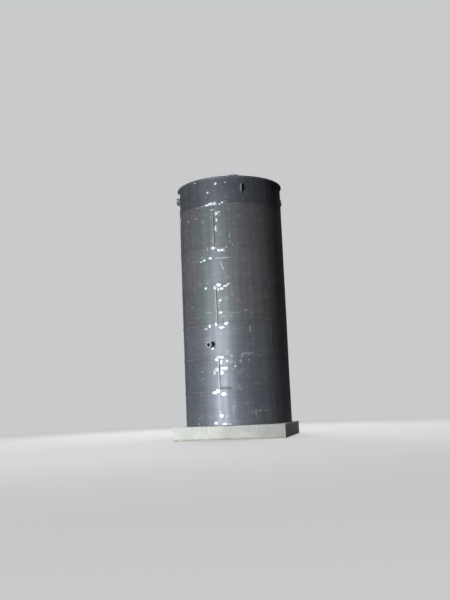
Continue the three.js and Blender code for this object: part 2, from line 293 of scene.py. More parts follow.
def build_mill_scale():
    """The skin of hot-rolled plate: two tones in patches, rain streaks, flakes lost, a film of rust."""
    group, given, result = new_group(
        "mill_scale",
        [("Place", "Vector"), ("First Color", "Color"), ("Second Color", "Color"), ("Rust Color", "Color"),
         ("Rust", "Float"), ("Roughness", "Float"), ("Reflection Tint", "Float")],
        [("Color", "Color"), ("Roughness", "Float"), ("Height", "Float")])
    place = given["Place"]
    # An input that pushes the patches towards one tone or the other; the shell plates use it for a painted
    # tint of reflected light.
    patches = calculate(group, "ADD", cloud(group, place, 0.5, 4, 0.38, 0.62), given["Reflection Tint"])
    colour = mix_colours(group, patches, given["First Color"], given["Second Color"])
    streaks = cloud(group, place, 1.0, 5, 0.30, 0.70, stretch=(5, 5, 0.16))
    colour = tone(group, colour, spread(group, streaks, 0, 1, 0.90, 1.09))
    colour = tone(group, colour, cloud(group, place, 1.0, 4, 0.3, 0.7, 0.93, 1.07, stretch=(0.7, 0.7, 9)))
    grain = cloud(group, place, 24, 9, 0.25, 0.75)
    colour = tone(group, colour, spread(group, grain, 0, 1, 0.88, 1.12))
    flakes = cloud(group, place, 3.1, 13, 0.585, 0.625)
    colour = tone(group, colour, spread(group, flakes, 0, 1, 1.0, 1.35))
    bloom = cloud(group, place, 1.3, 12, 0.40, 0.75)
    rust = calculate(group, "MULTIPLY", bloom, given["Rust"])
    colour = mix_colours(group, rust, colour, given["Rust Color"])
    group.links.new(colour, result["Color"])
    roughness = calculate(group, "MULTIPLY_ADD", rust, 0.35, given["Roughness"])
    roughness = calculate(group, "MULTIPLY_ADD", grain, 0.05, roughness)
    roughness = calculate(group, "MULTIPLY_ADD", streaks, -0.05, roughness)
    group.links.new(roughness, result["Roughness"])
    height = calculate(group, "MULTIPLY_ADD", flakes, -0.4, grain)
    group.links.new(height, result["Height"])
    return group


mill_scale = build_mill_scale()


def rolled_steel(name, first, second, rust, roughness, metallic=0.4):
    """Hot-rolled steel with its mill scale on, for every piece that isn't a shell plate."""
    finish, tree, shader, place = new_finish(name, metallic)
    skin = use_group(tree, mill_scale, {
        "Place": place, "First Color": first, "Second Color": second,
        "Rust Color": (0.145, 0.075, 0.042, 1), "Rust": rust, "Roughness": roughness})
    finish_surface(tree, shader, skin["Color"], skin["Roughness"], skin["Height"], 0.0008)
    return finish


floor_low, floor_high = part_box("floor_plate")
floor_plate = bmesh.new()
bmesh.ops.create_cone(floor_plate, cap_ends=True, segments=FLOOR_EDGE_COLUMNS, radius1=floor_high.x,
                      radius2=floor_high.x, depth=floor_high.z - floor_low.z)
move(floor_plate, (0, 0, (floor_low.z + floor_high.z) / 2))
rim_edges = [edge for edge in floor_plate.edges if edge.verts[0].co.z == edge.verts[1].co.z]
bevel_edges(floor_plate, rim_edges, EDGE_BREAK)
for vert in floor_plate.verts:
    cut = TORCH_DEPTH * (0.5 + 0.5 * noise.noise(vert.co * 9))
    vert.co.xy *= 1 - cut / floor_high.x
floor_steel = rolled_steel("floor_plate_steel", (0.13, 0.125, 0.12, 1), (0.14, 0.125, 0.115, 1), 0.4, 0.5)
add_piece("bottom_plate", floor_plate, floor_steel, "shell_steel", "floor_plate")

weld_metal = rolled_steel("weld_metal", (0.165, 0.170, 0.178, 1), (0.155, 0.153, 0.157, 1), 0.12, 0.52)
foot_fillet = turned_ring([
    (SHELL_RADIUS - 0.004, floor_high.z - HAIR), (SHELL_RADIUS - 0.004, floor_high.z + FILLET_LEG),
    (SHELL_RADIUS + 0.003, floor_high.z + FILLET_LEG * 0.8),
    (SHELL_RADIUS + FILLET_LEG * 0.8, floor_high.z + 0.003),
    (SHELL_RADIUS + FILLET_LEG, floor_high.z - HAIR)], 720)
add_piece("foot_fillet_weld", ruffle(foot_fillet, 0.0012, 26), weld_metal, "shell_steel", sharp=60)


# Shell plates
# Seven courses of three rolled steel plates, 8 mm thick, each course turned half a plate against the
# next. Rolling leaves them a little wavy. They stand out slightly at their welded edges, where the
# scale was ground off on the side that the welder worked from.
SHELL_THICKNESS = 0.008
COURSES = 7
PLATES_PER_COURSE = 3
SEAM_AZIMUTH = -7                # of an upright seam in the even courses
PLATE_SWEEP = 360 / PLATES_PER_COURSE
PLATE_COLUMNS = 96
PLATE_CELL = 0.13
EDGE_ROWS = (0.012, 0.035, 0.07, 0.12)   # rows of points near a level seam, from the edge
WAVE_DEPTH = 0.006
RIPPLE_DEPTH = 0.0022
EDGE_FLARE = 0.002
EDGE_FLARE_REACH = 0.06
SEAM_PEAK = 0.005
SEAM_PEAK_REACH = 0.24
NOZZLE_AZIMUTH = -14.8
NOZZLE_LEVEL = 4.155
NOZZLE_COURSE = 3
NOZZLE_HOLE_RADIUS = 0.088
# Near this azimuth, and opposite it, the plates take their cooler first tone: a painted tint of the band of
# reflected light.
REFLECTION_TINT_AZIMUTH = -6                # where the plates lean most to their first tone
FRONT_GROUND_WIDTH = 0.07        # of the strip ground bare along the upright seams in front
GROUND_WIDTH = 0.02
SLAG_BURN = 0.9                  # how dark plates are beside upright seams with their slag on
FLUSH_BURN = 0.25
PLATE_SEED = 7

shell_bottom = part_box("shell_1_plate_1")[0].z
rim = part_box(f"shell_{COURSES}_plate_1")[1].z


def plate_start(course, plate):
    half_turn = PLATE_SWEEP / 2 if course % 2 == 1 else 0
    return SEAM_AZIMUTH - half_turn + (plate - 1) * PLATE_SWEEP


def shell_radius_at(place, low, high, start):
    """How far the wavy plate's outside lies from the axis at a place on it."""
    past_start = math.radians((azimuth_of(place) - start + 1) % 360 - 1) * SHELL_RADIUS
    to_seam = min(past_start, math.radians(PLATE_SWEEP) * SHELL_RADIUS - past_start)
    to_edge = min(abs(place.z - edge) for edge in (low, high) if shell_bottom < edge < rim)
    wave = WAVE_DEPTH * noise.noise(Vector((place.x * 0.8, place.y * 0.8, place.z * 0.45)))
    ripple = RIPPLE_DEPTH * noise.noise(place * 1.9)
    flare = EDGE_FLARE * math.exp(-to_edge / EDGE_FLARE_REACH)
    peak = SEAM_PEAK * max(0.0, 1 - to_seam / SEAM_PEAK_REACH) ** 2
    return SHELL_RADIUS + wave + ripple + flare + peak


def shell_plate(low, high, start):
    plate = bmesh.new()
    rows = [low] + [low + row for row in EDGE_ROWS]
    rows += steps_between(low + EDGE_ROWS[-1], high - EDGE_ROWS[-1], PLATE_CELL)
    rows += [high - row for row in reversed(EDGE_ROWS)] + [high]
    points = [plate.verts.new(point_at(start, SHELL_RADIUS, row)) for row in rows]
    lines = [plate.edges.new(pair) for pair in zip(points, points[1:])]
    bmesh.ops.spin(plate, geom=points + lines, cent=(0, 0, 0), axis=(0, 0, 1),
                   angle=math.radians(PLATE_SWEEP), steps=PLATE_COLUMNS)
    for vert in plate.verts:
        vert.co = point_at(azimuth_of(vert.co), shell_radius_at(vert.co, low, high, start), vert.co.z)
    bmesh.ops.recalc_face_normals(plate, faces=plate.faces)
    middle = plate.faces[len(plate.faces) // 2]
    if middle.normal.dot(middle.calc_center_median()) < 0:
        bmesh.ops.reverse_faces(plate, faces=plate.faces)
    bmesh.ops.solidify(plate, geom=plate.faces[:], thickness=SHELL_THICKNESS)
    for vert in plate.verts:
        vert.co.z = min(max(vert.co.z, low), high)
    return plate


def cut_away(shape, cutter):
    """The shape, with the cutter's solid taken out of it."""
    solids = []
    for part in (shape, cutter):
        mesh = bpy.data.meshes.new("cutting")
        part.to_mesh(mesh)
        part.free()
        solids.append(bpy.data.objects.new("cutting", mesh))
        bpy.context.scene.collection.objects.link(solids[-1])
    hole = solids[0].modifiers.new("hole", "BOOLEAN")
    hole.object = solids[1]
    left = bmesh.new()
    left.from_object(solids[0], bpy.context.evaluated_depsgraph_get())
    for solid in solids:
        mesh = solid.data
        bpy.data.objects.remove(solid)
        bpy.data.meshes.remove(mesh)
    return left


def round_bar(radius, low, high, segments=48):
    """An upright bar about Z, between two heights."""
    bar = bmesh.new()
    bmesh.ops.create_cone(bar, cap_ends=True, segments=segments, radius1=radius, radius2=radius,
                          depth=high - low)
    move(bar, (0, 0, (low + high) / 2))
    return bar


# Turns what is built up along Z so that it points out of the shell at the nozzle
to_nozzle = (Matrix.Translation((0, 0, NOZZLE_LEVEL))
             @ Matrix.Rotation(math.radians(NOZZLE_AZIMUTH), 4, "Z")
             @ Matrix.Rotation(math.radians(90), 4, "X"))


def build_seam_band():
    """Where a plate was ground bare beside its welds, with painted highlight along the level seams on the
    left, and the heat tint past that.
    """
    group, given, result = new_group(
        "seam_band",
        [("Place", "Vector"), ("Left Tangent", "Vector"), ("Right Tangent", "Vector"),
         ("Bottom", "Float"), ("Top", "Float"), ("Left Width", "Float"), ("Right Width", "Float")],
        [("Ground And Sheen", "Float"), ("Heat", "Float"), ("Burnt", "Float")])
    place = given["Place"]
    across, _, rise = add_node(group, "ShaderNodeSeparateXYZ", {0: place}).outputs
    uneven = cloud(group, place, 14, 5, 0.2, 0.8, -0.022, 0.022)
    left = add_node(group, "ShaderNodeVectorMath", {0: place, 1: given["Left Tangent"]},
                    operation="DOT_PRODUCT").outputs[1]
    right = add_node(group, "ShaderNodeVectorMath", {0: place, 1: given["Right Tangent"]},
                     operation="DOT_PRODUCT").outputs[1]
    right = calculate(group, "MULTIPLY", right, -1)
    above = calculate(group, "SUBTRACT", rise, given["Bottom"])
    below = calculate(group, "SUBTRACT", given["Top"], rise)
    level = calculate(group, "MINIMUM", above, below)
    bands = []
    for distance, width in ((left, given["Left Width"]), (right, given["Right Width"])):
        strayed = calculate(group, "ADD", distance, uneven)
        inner = calculate(group, "MULTIPLY", width, 0.7)
        bands.append(spread(group, strayed, inner, width, 1.0, 0.0))
    # Pale lines along the level seams, full on the left (-X) and fading out to the right: painted highlight
    # where the weld beads catch the light, added to the ground mask.
    lit_seam_sheen = spread(group, calculate(group, "ADD", level, uneven), 0.02, 0.045, 0.2, 0.0)
    lit_seam_sheen = calculate(group, "MULTIPLY", lit_seam_sheen, spread(group, across, -1.6, -0.3, 1.0, 0.1))
    ground = calculate(group, "MAXIMUM", bands[0], calculate(group, "MAXIMUM", bands[1], lit_seam_sheen))
    group.links.new(ground, result["Ground And Sheen"])
    nearest = calculate(group, "MINIMUM", level, calculate(group, "MINIMUM", left, right))
    strayed = calculate(group, "ADD", nearest, uneven)
    near_side = spread(group, strayed, 0.02, 0.05)
    heat = calculate(group, "MULTIPLY", near_side, spread(group, strayed, 0.06, 0.13, 1, 0))
    group.links.new(heat, result["Heat"])
    beside = calculate(group, "MULTIPLY_ADD", uneven, 0.25, calculate(group, "MINIMUM", left, right))
    group.links.new(spread(group, beside, 0.016, 0.028, 1, 0), result["Burnt"])
    return group


seam_band = build_seam_band()


def tangent_at(azimuth):
    angle = math.radians(azimuth)
    return Vector((math.cos(angle), math.sin(angle), 0))


def plate_steel(name, low, high, start, first, second, rust, roughness, ground_width, burnt):
    """A shell plate's own mill scale, ground pale beside its welds and tinted by their heat; it also carries
    painted highlight along its level seams on the left, and a painted cooler tint near one azimuth.
    """
    finish, tree, shader, place = new_finish(name, 0.4)
    facing = add_node(tree, "ShaderNodeVectorMath", {0: place, 1: tangent_at(REFLECTION_TINT_AZIMUTH)},
                      operation="DOT_PRODUCT").outputs["Value"]
    # Painted tint of the reflected light: the plates lean to their cooler first tone near the azimuth set
    # above.
    reflection_tint = spread(tree, calculate(tree, "ABSOLUTE", facing), 0.5, 1.45, -0.45, 0.45)
    skin = use_group(tree, mill_scale, {
        "Place": place, "First Color": first, "Second Color": second,
        "Rust Color": (0.13, 0.075, 0.05, 1), "Rust": rust, "Roughness": roughness, "Reflection Tint": reflection_tint})
    band = use_group(tree, seam_band, {
        "Place": place, "Left Tangent": tangent_at(start), "Right Tangent": tangent_at(start + PLATE_SWEEP),
        "Bottom": low, "Top": high, "Left Width": 0.012, "Right Width": ground_width})
    heat = calculate(tree, "MULTIPLY", band["Heat"], 0.25)
    colour = mix_colours(tree, heat, skin["Color"], (0.09, 0.085, 0.10, 1))
    # The ground mask also holds the painted highlight along the level seams, so both are made paler here.
    ground = calculate(tree, "MULTIPLY", band["Ground And Sheen"], 0.6)
    colour = mix_colours(tree, ground, colour, (0.33, 0.325, 0.32, 1))
    roughness = calculate(tree, "MULTIPLY_ADD", ground, -0.06, skin["Roughness"])
    burnt_share = calculate(tree, "MULTIPLY", band["Burnt"], burnt)
    colour = mix_colours(tree, burnt_share, colour, (0.022, 0.022, 0.024, 1))
    finish_surface(tree, shader, colour, roughness, skin["Height"], 0.0006)
    return finish


# Each course's two tones, its rust and its roughness, from the bottom up
COURSE_TONES = (
    ((0.152, 0.163, 0.180), (0.142, 0.148, 0.164), 0.05, 0.50),
    ((0.152, 0.163, 0.178), (0.142, 0.147, 0.160), 0.06, 0.50),
    ((0.162, 0.172, 0.183), (0.152, 0.156, 0.168), 0.07, 0.49),
    ((0.143, 0.160, 0.157), (0.153, 0.145, 0.148), 0.10, 0.53),
    ((0.141, 0.157, 0.155), (0.157, 0.143, 0.149), 0.12, 0.53),
    ((0.130, 0.143, 0.141), (0.143, 0.132, 0.138), 0.10, 0.54),
    ((0.110, 0.114, 0.124), (0.097, 0.099, 0.108), 0.05, 0.525),
)
plate_chance = random.Random(PLATE_SEED)
course_spans = []
for course in range(1, COURSES + 1):
    plate_low, plate_high = (corner.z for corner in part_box(f"shell_{course}_plate_1"))
    course_spans.append((plate_low, plate_high))
    first, second, rust, roughness = COURSE_TONES[course - 1]
    has_slag = course % 2 == 0
    for plate in range(1, PLATES_PER_COURSE + 1):
        start = plate_start(course, plate)
        shade = plate_chance.uniform(0.95, 1.05)
        steel = plate_steel(
            f"plate_steel_{course}_{plate}", plate_low, plate_high, start,
            (*(channel * shade for channel in first), 1), (*(channel * shade for channel in second), 1),
            rust * plate_chance.uniform(0.8, 1.3), roughness + plate_chance.uniform(-0.01, 0.01),
            FRONT_GROUND_WIDTH if has_slag and plate == PLATES_PER_COURSE else GROUND_WIDTH,
            SLAG_BURN if has_slag else FLUSH_BURN)
        shape = shell_plate(plate_low, plate_high, start)
        if course == NOZZLE_COURSE and start < NOZZLE_AZIMUTH < start + PLATE_SWEEP:
            drill = round_bar(NOZZLE_HOLE_RADIUS, SHELL_RADIUS - 0.2, SHELL_RADIUS + 0.2)
            bmesh.ops.transform(drill, matrix=to_nozzle, verts=drill.verts)
            shape = cut_away(shape, drill)
        slot = "top_steel" if course == COURSES else "shell_steel"
        add_piece(f"rolled_plate_{course}_{plate}", shape, steel, slot, f"shell_{course}_plate_{plate}")


# Weld seams
# Beads of weld metal join the plates: six level ones between the courses and an upright one at each
# plate's end. The upright ones of the even courses still have their dark slag on, the others are ground
# nearly flush.
BEAD_HALF_WIDTH = 0.009
BEAD_PROUD = 0.0015
BEAD_COLUMNS = 720
BEAD_CELL = 0.03
BEAD_UNEVEN = 0.0015
FLUSH_SHARE = 0.2                # how proud a ground bead still is, of what it was


def surface_radius(azimuth, height):
    """How far the shell's outside lies from the axis, at any azimuth and height."""
    for course, (low, high) in enumerate(course_spans, 1):
        if height <= high:
            break
    plates_on = (azimuth - plate_start(course, 1)) // PLATE_SWEEP
    start = plate_start(course, 1) + plates_on * PLATE_SWEEP
    return shell_radius_at(point_at(azimuth, SHELL_RADIUS, height), low, high, start)


def follow_shell(shape):
    """Moves what was placed on a true cylinder so that it fits the wavy plates."""
    for vert in shape.verts:
        moved = surface_radius(azimuth_of(vert.co), vert.co.z) - SHELL_RADIUS
        vert.co += moved * Vector((vert.co.x, vert.co.y, 0)).normalized()
    return shape


def absorb(shape, other):
    """Adds the other shape's mesh to the shape, and drops the other."""
    mesh = bpy.data.meshes.new("absorbed")
    other.to_mesh(mesh)
    other.free()
    shape.from_mesh(mesh)
    bpy.data.meshes.remove(mesh)


def straight_bead(start, end, radius, uneven=BEAD_UNEVEN):
    """An uneven round bead of weld metal from one point to another."""
    length = (end - start).length
    bead = round_bar(radius, 0, length, 8)
    slice_across(bead, 2, steps_between(0, length, BEAD_CELL))
    turn = (end - start).to_track_quat("Z", "Y").to_matrix().to_4x4()
    bmesh.ops.transform(bead, matrix=Matrix.Translation(start) @ turn, verts=bead.verts)
    return ruffle(bead, uneven, 30)


def bead_ring(radius, height, proud, half_width, columns):
    """A round bead of weld metal, turned once round Z."""
    profile = []
    for corner in range(8):
        angle = math.radians(45 * corner)
        profile.append((radius + proud * math.sin(angle), height + half_width * math.cos(angle)))
    return turned_ring(profile, columns)


for course, (seam_height, _) in enumerate(course_spans[1:], 1):
    bead = bead_ring(SHELL_RADIUS, seam_height, BEAD_PROUD, BEAD_HALF_WIDTH, BEAD_COLUMNS)
    ruffle(follow_shell(bead), BEAD_UNEVEN, 22)
    add_piece(f"level_weld_{course}", bead, weld_metal, "shell_steel", sharp=70)

slag = rolled_steel("weld_slag", (0.022, 0.020, 0.020, 1), (0.035, 0.028, 0.024, 1), 0.25, 0.62, 0.2)
for course, (low, high) in enumerate(course_spans, 1):
    upright_welds = bmesh.new()
    for plate in range(1, PLATES_PER_COURSE + 1):
        azimuth = plate_start(course, plate)
        bead = straight_bead(point_at(azimuth, SHELL_RADIUS, low + HAIR),
                             point_at(azimuth, SHELL_RADIUS, high - HAIR), BEAD_HALF_WIDTH)
        if course % 2 == 1:
            for vert in bead.verts:
                vert.co.xy *= 1 + (SHELL_RADIUS / vert.co.xy.length - 1) * (1 - FLUSH_SHARE)
        absorb(upright_welds, follow_shell(bead))
    add_piece(f"upright_welds_{course}", upright_welds, slag if course % 2 == 0 else weld_metal,
              "shell_steel", sharp=70)


# Weld scars
# Cleats and key plates held the plates in line while they were welded. They were knocked off and their
# welds ground down to flat bright blobs, about a hand wide. A few stumps of cleats still stand out.
SCAR_CORNERS = 13
SCAR_SUNK = 0.0015
SCAR_CELL = 0.045
SCAR_SOFTENING = 0.35                               # how far each corner moves to between its neighbours
SCAR_ROUNDING = 0.06                                # cut off each corner, of a blob 1 across
SOFTENED_LOSS = 1.045                               # makes good what the softening takes off the size
SLIVER = 0.00005                                    # shorter edges than this are closed up
LONG_MARK = 2.4                                     # from this ratio of its sides a mark has square ends
SQUARE_ENDS = 0.4                                   # 1 leaves an oval, 0 makes a rectangle
SCAR_STEPS = ((0.0032, 0.86), (0.0009, 0.5))        # rise and shrink of each step of a blob
SCAR_EDGE_STEPS = ((0.0021, 0.95), (0.0001, 0.6))
STUMP_SIZE = (0.012, 0.06, 0.016)                   # across, up and out
OUTLINE_AZIMUTH = -74.0                             # where stumps show at the photo's left outline
OUTLINE_STUMPS = (0.026, 0.026, 0.024, 0.018, 0.018)   # how far each stands out, from the bottom seam up
SCAR_SHARE = 0.7                                    # of the places that may hold one
UPRIGHT_SCAR_SHARE = 0.5
STUMP_SHARE = 0.16
SCAR_PITCH = 5.3                                    # degrees between scars along a level seam
HIDDEN_FROM, HIDDEN_TO = 101, 283                   # azimuths where no scar is known one by one
UPRIGHT_SCAR_PITCH = 0.3
SCAR_SEED = 41

# Where the photograph was taken from, by a fit to the tank's edges. The photo's marks are placed by it,
# and the camera stands there.
PHOTO_WIDTH, PHOTO_HEIGHT = 450, 600     # pixels
CAMERA_AZIMUTH = 11.2
CAMERA_DISTANCE = 34.913
CAMERA_HEIGHT = 1.452
CAMERA_HEADING = 11.90                   # degrees left of +Y
CAMERA_PITCH = 8.170
CAMERA_ROLL = -2.391
CAMERA_SENSOR = 36                       # mm, along the photo's longer side
CAMERA_LENS = 44.29                      # mm

# Middle of each scar that is known, in pixels of the photo, then its width and height in metres
SEAM_SCARS = (
    (206.5, 205.3, 0.22, 0.09), (210.2, 203.8, 0.24, 0.13), (214.0, 203.4, 0.20, 0.13),
    (219.6, 203.5, 0.05, 0.11), (222.1, 202.1, 0.07, 0.06),
    (216.1, 213.1, 0.09, 0.15), (218.1, 211.7, 0.12, 0.05), (216.3, 219.5, 0.05, 0.16),
    (215.6, 228.3, 0.045, 0.28), (213.3, 247.8, 0.18, 0.12), (218.9, 250.0, 0.18, 0.09),
    (222.0, 249.7, 0.15, 0.10), (201.1, 262.0, 0.14, 0.07), (203.7, 260.4, 0.14, 0.12),
    (210.1, 258.1, 0.17, 0.11), (205.5, 288.2, 0.12, 0.12), (214.5, 287.8, 0.08, 0.14),
    (218.4, 284.7, 0.25, 0.13), (218.2, 289.1, 0.06, 0.12), (221.5, 288.3, 0.10, 0.09),
    (225.8, 285.7, 0.12, 0.06), (227.4, 284.4, 0.09, 0.05), (228.9, 283.4, 0.09, 0.06),
    (220.3, 300.1, 0.05, 0.12), (220.6, 312.3, 0.14, 0.09), (205.7, 329.0, 0.07, 0.07),
    (209.6, 326.3, 0.11, 0.13), (215.8, 324.0, 0.07, 0.16), (226.2, 323.1, 0.16, 0.13),
    (221.8, 327.2, 0.23, 0.12), (216.6, 359.6, 0.14, 0.11), (220.1, 357.0, 0.30, 0.08),
    (221.4, 362.3, 0.04, 0.23), (227.3, 360.8, 0.06, 0.10), (235.3, 366.2, 0.03, 0.10),
    (224.3, 368.3, 0.34, 0.11), (221.7, 372.5, 0.11, 0.20), (214.5, 392.4, 0.20, 0.11),
    (218.6, 391.0, 0.20, 0.16), (224.6, 393.9, 0.17, 0.14), (221.5, 416.1, 0.13, 0.12),
    (215.8, 423.2, 0.18, 0.12), (224.8, 424.0, 0.17, 0.10), (199.0, 424.0, 0.03, 0.06),
    (215.6, 183.3, 0.12, 0.12), (207.4, 192.5, 0.06, 0.08), (225.4, 182.0, 0.06, 0.05),
    (194.8, 183.1, 0.07, 0.05), (196.2, 219.2, 0.03, 0.06), (188.4, 222.2, 0.025, 0.08),
)


camera_place = (
    Matrix.Translation(point_at(CAMERA_AZIMUTH, CAMERA_DISTANCE, CAMERA_HEIGHT))
    @ Matrix.Rotation(math.radians(CAMERA_HEADING), 4, "Z")
    @ Matrix.Rotation(math.radians(90 + CAMERA_PITCH), 4, "X")
    @ Matrix.Rotation(math.radians(CAMERA_ROLL), 4, "Z"))


def seen_at(across, down):
    """The azimuth and height of the place on the shell that the photo shows at a pixel."""
    reach = PHOTO_HEIGHT * CAMERA_LENS / CAMERA_SENSOR
    sight = camera_place.to_3x3() @ Vector((across - PHOTO_WIDTH / 2, PHOTO_HEIGHT / 2 - down, -reach))
    eye = camera_place.translation
    along = eye.xy.dot(sight.xy) / sight.xy.length_squared
    over = (eye.xy.length_squared - SHELL_RADIUS ** 2) / sight.xy.length_squared
    place = eye - sight * (along + math.sqrt(along ** 2 - over))
    return azimuth_of(place), place.z


def lay_on_shell(shape, azimuth, height):
    """Wraps a flat drawing (X to the right, Y up, Z out) round the shell at a place."""
    for vert in shape.verts:
        turned = azimuth + math.degrees(vert.co.x / SHELL_RADIUS)
        vert.co = point_at(turned, SHELL_RADIUS + vert.co.z, height + vert.co.y)
    return follow_shell(shape)


def weld_scar(azimuth, height, width, tall, chance, steps=SCAR_STEPS):
    """One ground blob of weld metal, of uneven outline and low at its edge."""
    scar = bmesh.new()
    bmesh.ops.create_circle(scar, cap_ends=True, segments=SCAR_CORNERS, radius=0.5)
    is_long = max(width, tall) > LONG_MARK * min(width, tall)
    for vert in scar.verts:
        if is_long:
            vert.co.x = math.copysign(abs(2 * vert.co.x) ** SQUARE_ENDS / 2, vert.co.x)
            vert.co.y = math.copysign(abs(2 * vert.co.y) ** SQUARE_ENDS / 2, vert.co.y)
        vert.co.xy *= chance.uniform(0.6, 1.1 if is_long else 1.25)
    bmesh.ops.smooth_vert(scar, verts=scar.verts, factor=SCAR_SOFTENING, use_axis_x=True, use_axis_y=True,
                          use_axis_z=True)
    bmesh.ops.bevel(scar, geom=scar.verts[:], offset=SCAR_ROUNDING, affect="VERTICES", segments=1,
                    profile=0.5, material=-1, clamp_overlap=True)
    bmesh.ops.scale(scar, vec=(width * SOFTENED_LOSS, tall * SOFTENED_LOSS, 1), verts=scar.verts)
    move(scar, (0, 0, -SCAR_SUNK))
    top = scar.faces[:]
    for rise, shrink in steps:
        grown = bmesh.ops.extrude_face_region(scar, geom=top + top[0].edges[:])["geom"]
        points = [item for item in grown if isinstance(item, bmesh.types.BMVert)]
        top = [item for item in grown if isinstance(item, bmesh.types.BMFace)]
        bmesh.ops.translate(scar, vec=(0, 0, rise), verts=points)
        bmesh.ops.scale(scar, vec=(shrink, shrink, 1), verts=points)
    bmesh.ops.recalc_face_normals(scar, faces=scar.faces)
    slice_across(scar, 0, steps_between(-width * 0.6, width * 0.6, SCAR_CELL))
    slice_across(scar, 1, steps_between(-tall * 0.6, tall * 0.6, SCAR_CELL * 2))
    bmesh.ops.dissolve_degenerate(scar, dist=SLIVER, edges=scar.edges)
    return lay_on_shell(scar, azimuth, height)


def cleat_stump(azimuth, height, size=STUMP_SIZE):
    """What is left of a cleat: a short piece of flat bar on edge, cut off roughly."""
    stump = bmesh.new()
    bmesh.ops.create_cube(stump, size=1)
    bmesh.ops.scale(stump, vec=size, verts=stump.verts)
    move(stump, (0, 0, size[2] / 2 - SCAR_SUNK))
    bevel_edges(stump, stump.edges[:], EDGE_BREAK)
    return lay_on_shell(ruffle(stump, 0.002, 40), azimuth, height)


def build_wheel_marks():
    """Crossed scratches of a grinding wheel, as a tone and a height."""
    group, given, result = new_group("wheel_marks", [("Place", "Vector")],
                                     [("Tone", "Float"), ("Height", "Float")])
    place = given["Place"]
    rising = cloud(group, place, 1.0, 5, 0.3, 0.7, stretch=(160, 160, 14))
    level = cloud(group, place, 1.0, 5, 0.3, 0.7, stretch=(12, 12, 170))
    marks = calculate(group, "MAXIMUM", rising, level)
    group.links.new(spread(group, marks, 0, 1, 0.85, 1.08), result["Tone"])
    group.links.new(marks, result["Height"])
    return group


wheel_marks = build_wheel_marks()


def ground_steel(name, colour, roughness, rust):
    """Steel ground bare: bright, scratched, with a little new rust on it."""
    finish, tree, shader, place = new_finish(name, 0.5)
    marks = use_group(tree, wheel_marks, {"Place": place})
    bloom = calculate(tree, "MULTIPLY", cloud(tree, place, 17, 9, 0.45, 0.8), rust)
    surface = mix_colours(tree, bloom, (*colour, 1), (0.20, 0.12, 0.08, 1))
    surface = tone(tree, surface, marks["Tone"])
    rough = calculate(tree, "MULTIPLY_ADD", bloom, 0.3, roughness)
    finish_surface(tree, shader, surface, rough, marks["Height"], 0.0003)
    return finish


ground_bright = ground_steel("ground_bright_steel", (0.74, 0.76, 0.78), 0.50, 0.25)
scar_chance = random.Random(SCAR_SEED)
known_scars = bmesh.new()
scar_edges = bmesh.new()
for across, down, width, tall in SEAM_SCARS:
    azimuth, height = seen_at(across, down)
    absorb(known_scars, weld_scar(azimuth, height, width, tall, scar_chance))
    around = scar_chance.uniform(0.03, 0.07)
    absorb(scar_edges, weld_scar(azimuth + scar_chance.uniform(-0.5, 0.5), height, width + around * 2,
                                 tall + around, scar_chance, SCAR_EDGE_STEPS))
add_piece("weld_scars_front", known_scars, ground_bright, "shell_steel", sharp=60)

hidden_scars = bmesh.new()
stumps = bmesh.new()
for seam_height, _ in course_spans[1:]:
    azimuth = HIDDEN_FROM + scar_chance.uniform(0, SCAR_PITCH)
    while azimuth < HIDDEN_TO:
        height = seam_height + scar_chance.choice((-0.05, 0.05)) + scar_chance.uniform(-0.04, 0.06)
        if scar_chance.random() < SCAR_SHARE:
            absorb(hidden_scars, weld_scar(azimuth, height, scar_chance.uniform(0.05, 0.24),
                                           scar_chance.uniform(0.04, 0.09), scar_chance))
        if scar_chance.random() < STUMP_SHARE:
            absorb(stumps, cleat_stump(azimuth + SCAR_PITCH / 3, seam_height))
        azimuth += SCAR_PITCH * scar_chance.uniform(0.5, 2.3)
for course, (low, high) in enumerate(course_spans, 1):
    for plate in range(1, PLATES_PER_COURSE + 1):
        azimuth = plate_start(course, plate)
        if HIDDEN_FROM < azimuth % 360 < HIDDEN_TO:
            for height in steps_between(low, high, UPRIGHT_SCAR_PITCH):
                side = scar_chance.choice((-1.6, 2.6, 2.9))
                if scar_chance.random() < 1 - UPRIGHT_SCAR_SHARE:
                    continue
                absorb(hidden_scars, weld_scar(azimuth + side, height + scar_chance.uniform(-0.12, 0.12),
                                               scar_chance.uniform(0.04, 0.09),
                                               scar_chance.uniform(0.05, 0.20), scar_chance))
add_piece("weld_scars_round", hidden_scars, ground_bright, "shell_steel", sharp=60)
for (seam_height, _), reach in zip(course_spans[1:], OUTLINE_STUMPS):
    absorb(stumps, cleat_stump(OUTLINE_AZIMUTH, seam_height, (0.05, 0.09, reach)))
stump_steel = rolled_steel("cleat_stump_steel", (0.24, 0.245, 0.25, 1), (0.21, 0.20, 0.20, 1), 0.2, 0.5)
add_piece("cleat_stumps", stumps, stump_steel, "shell_steel", sharp=50)


# Scuffs
# Wide thin smears where lifting gear and grinders touched the scale without cutting through it: paler
# than the plate and dull, each a skin that is hardly proud of it.
SCUFF_STEPS = ((0.0019, 0.95), (0.0002, 0.6))
HIDDEN_SCUFFS = 22
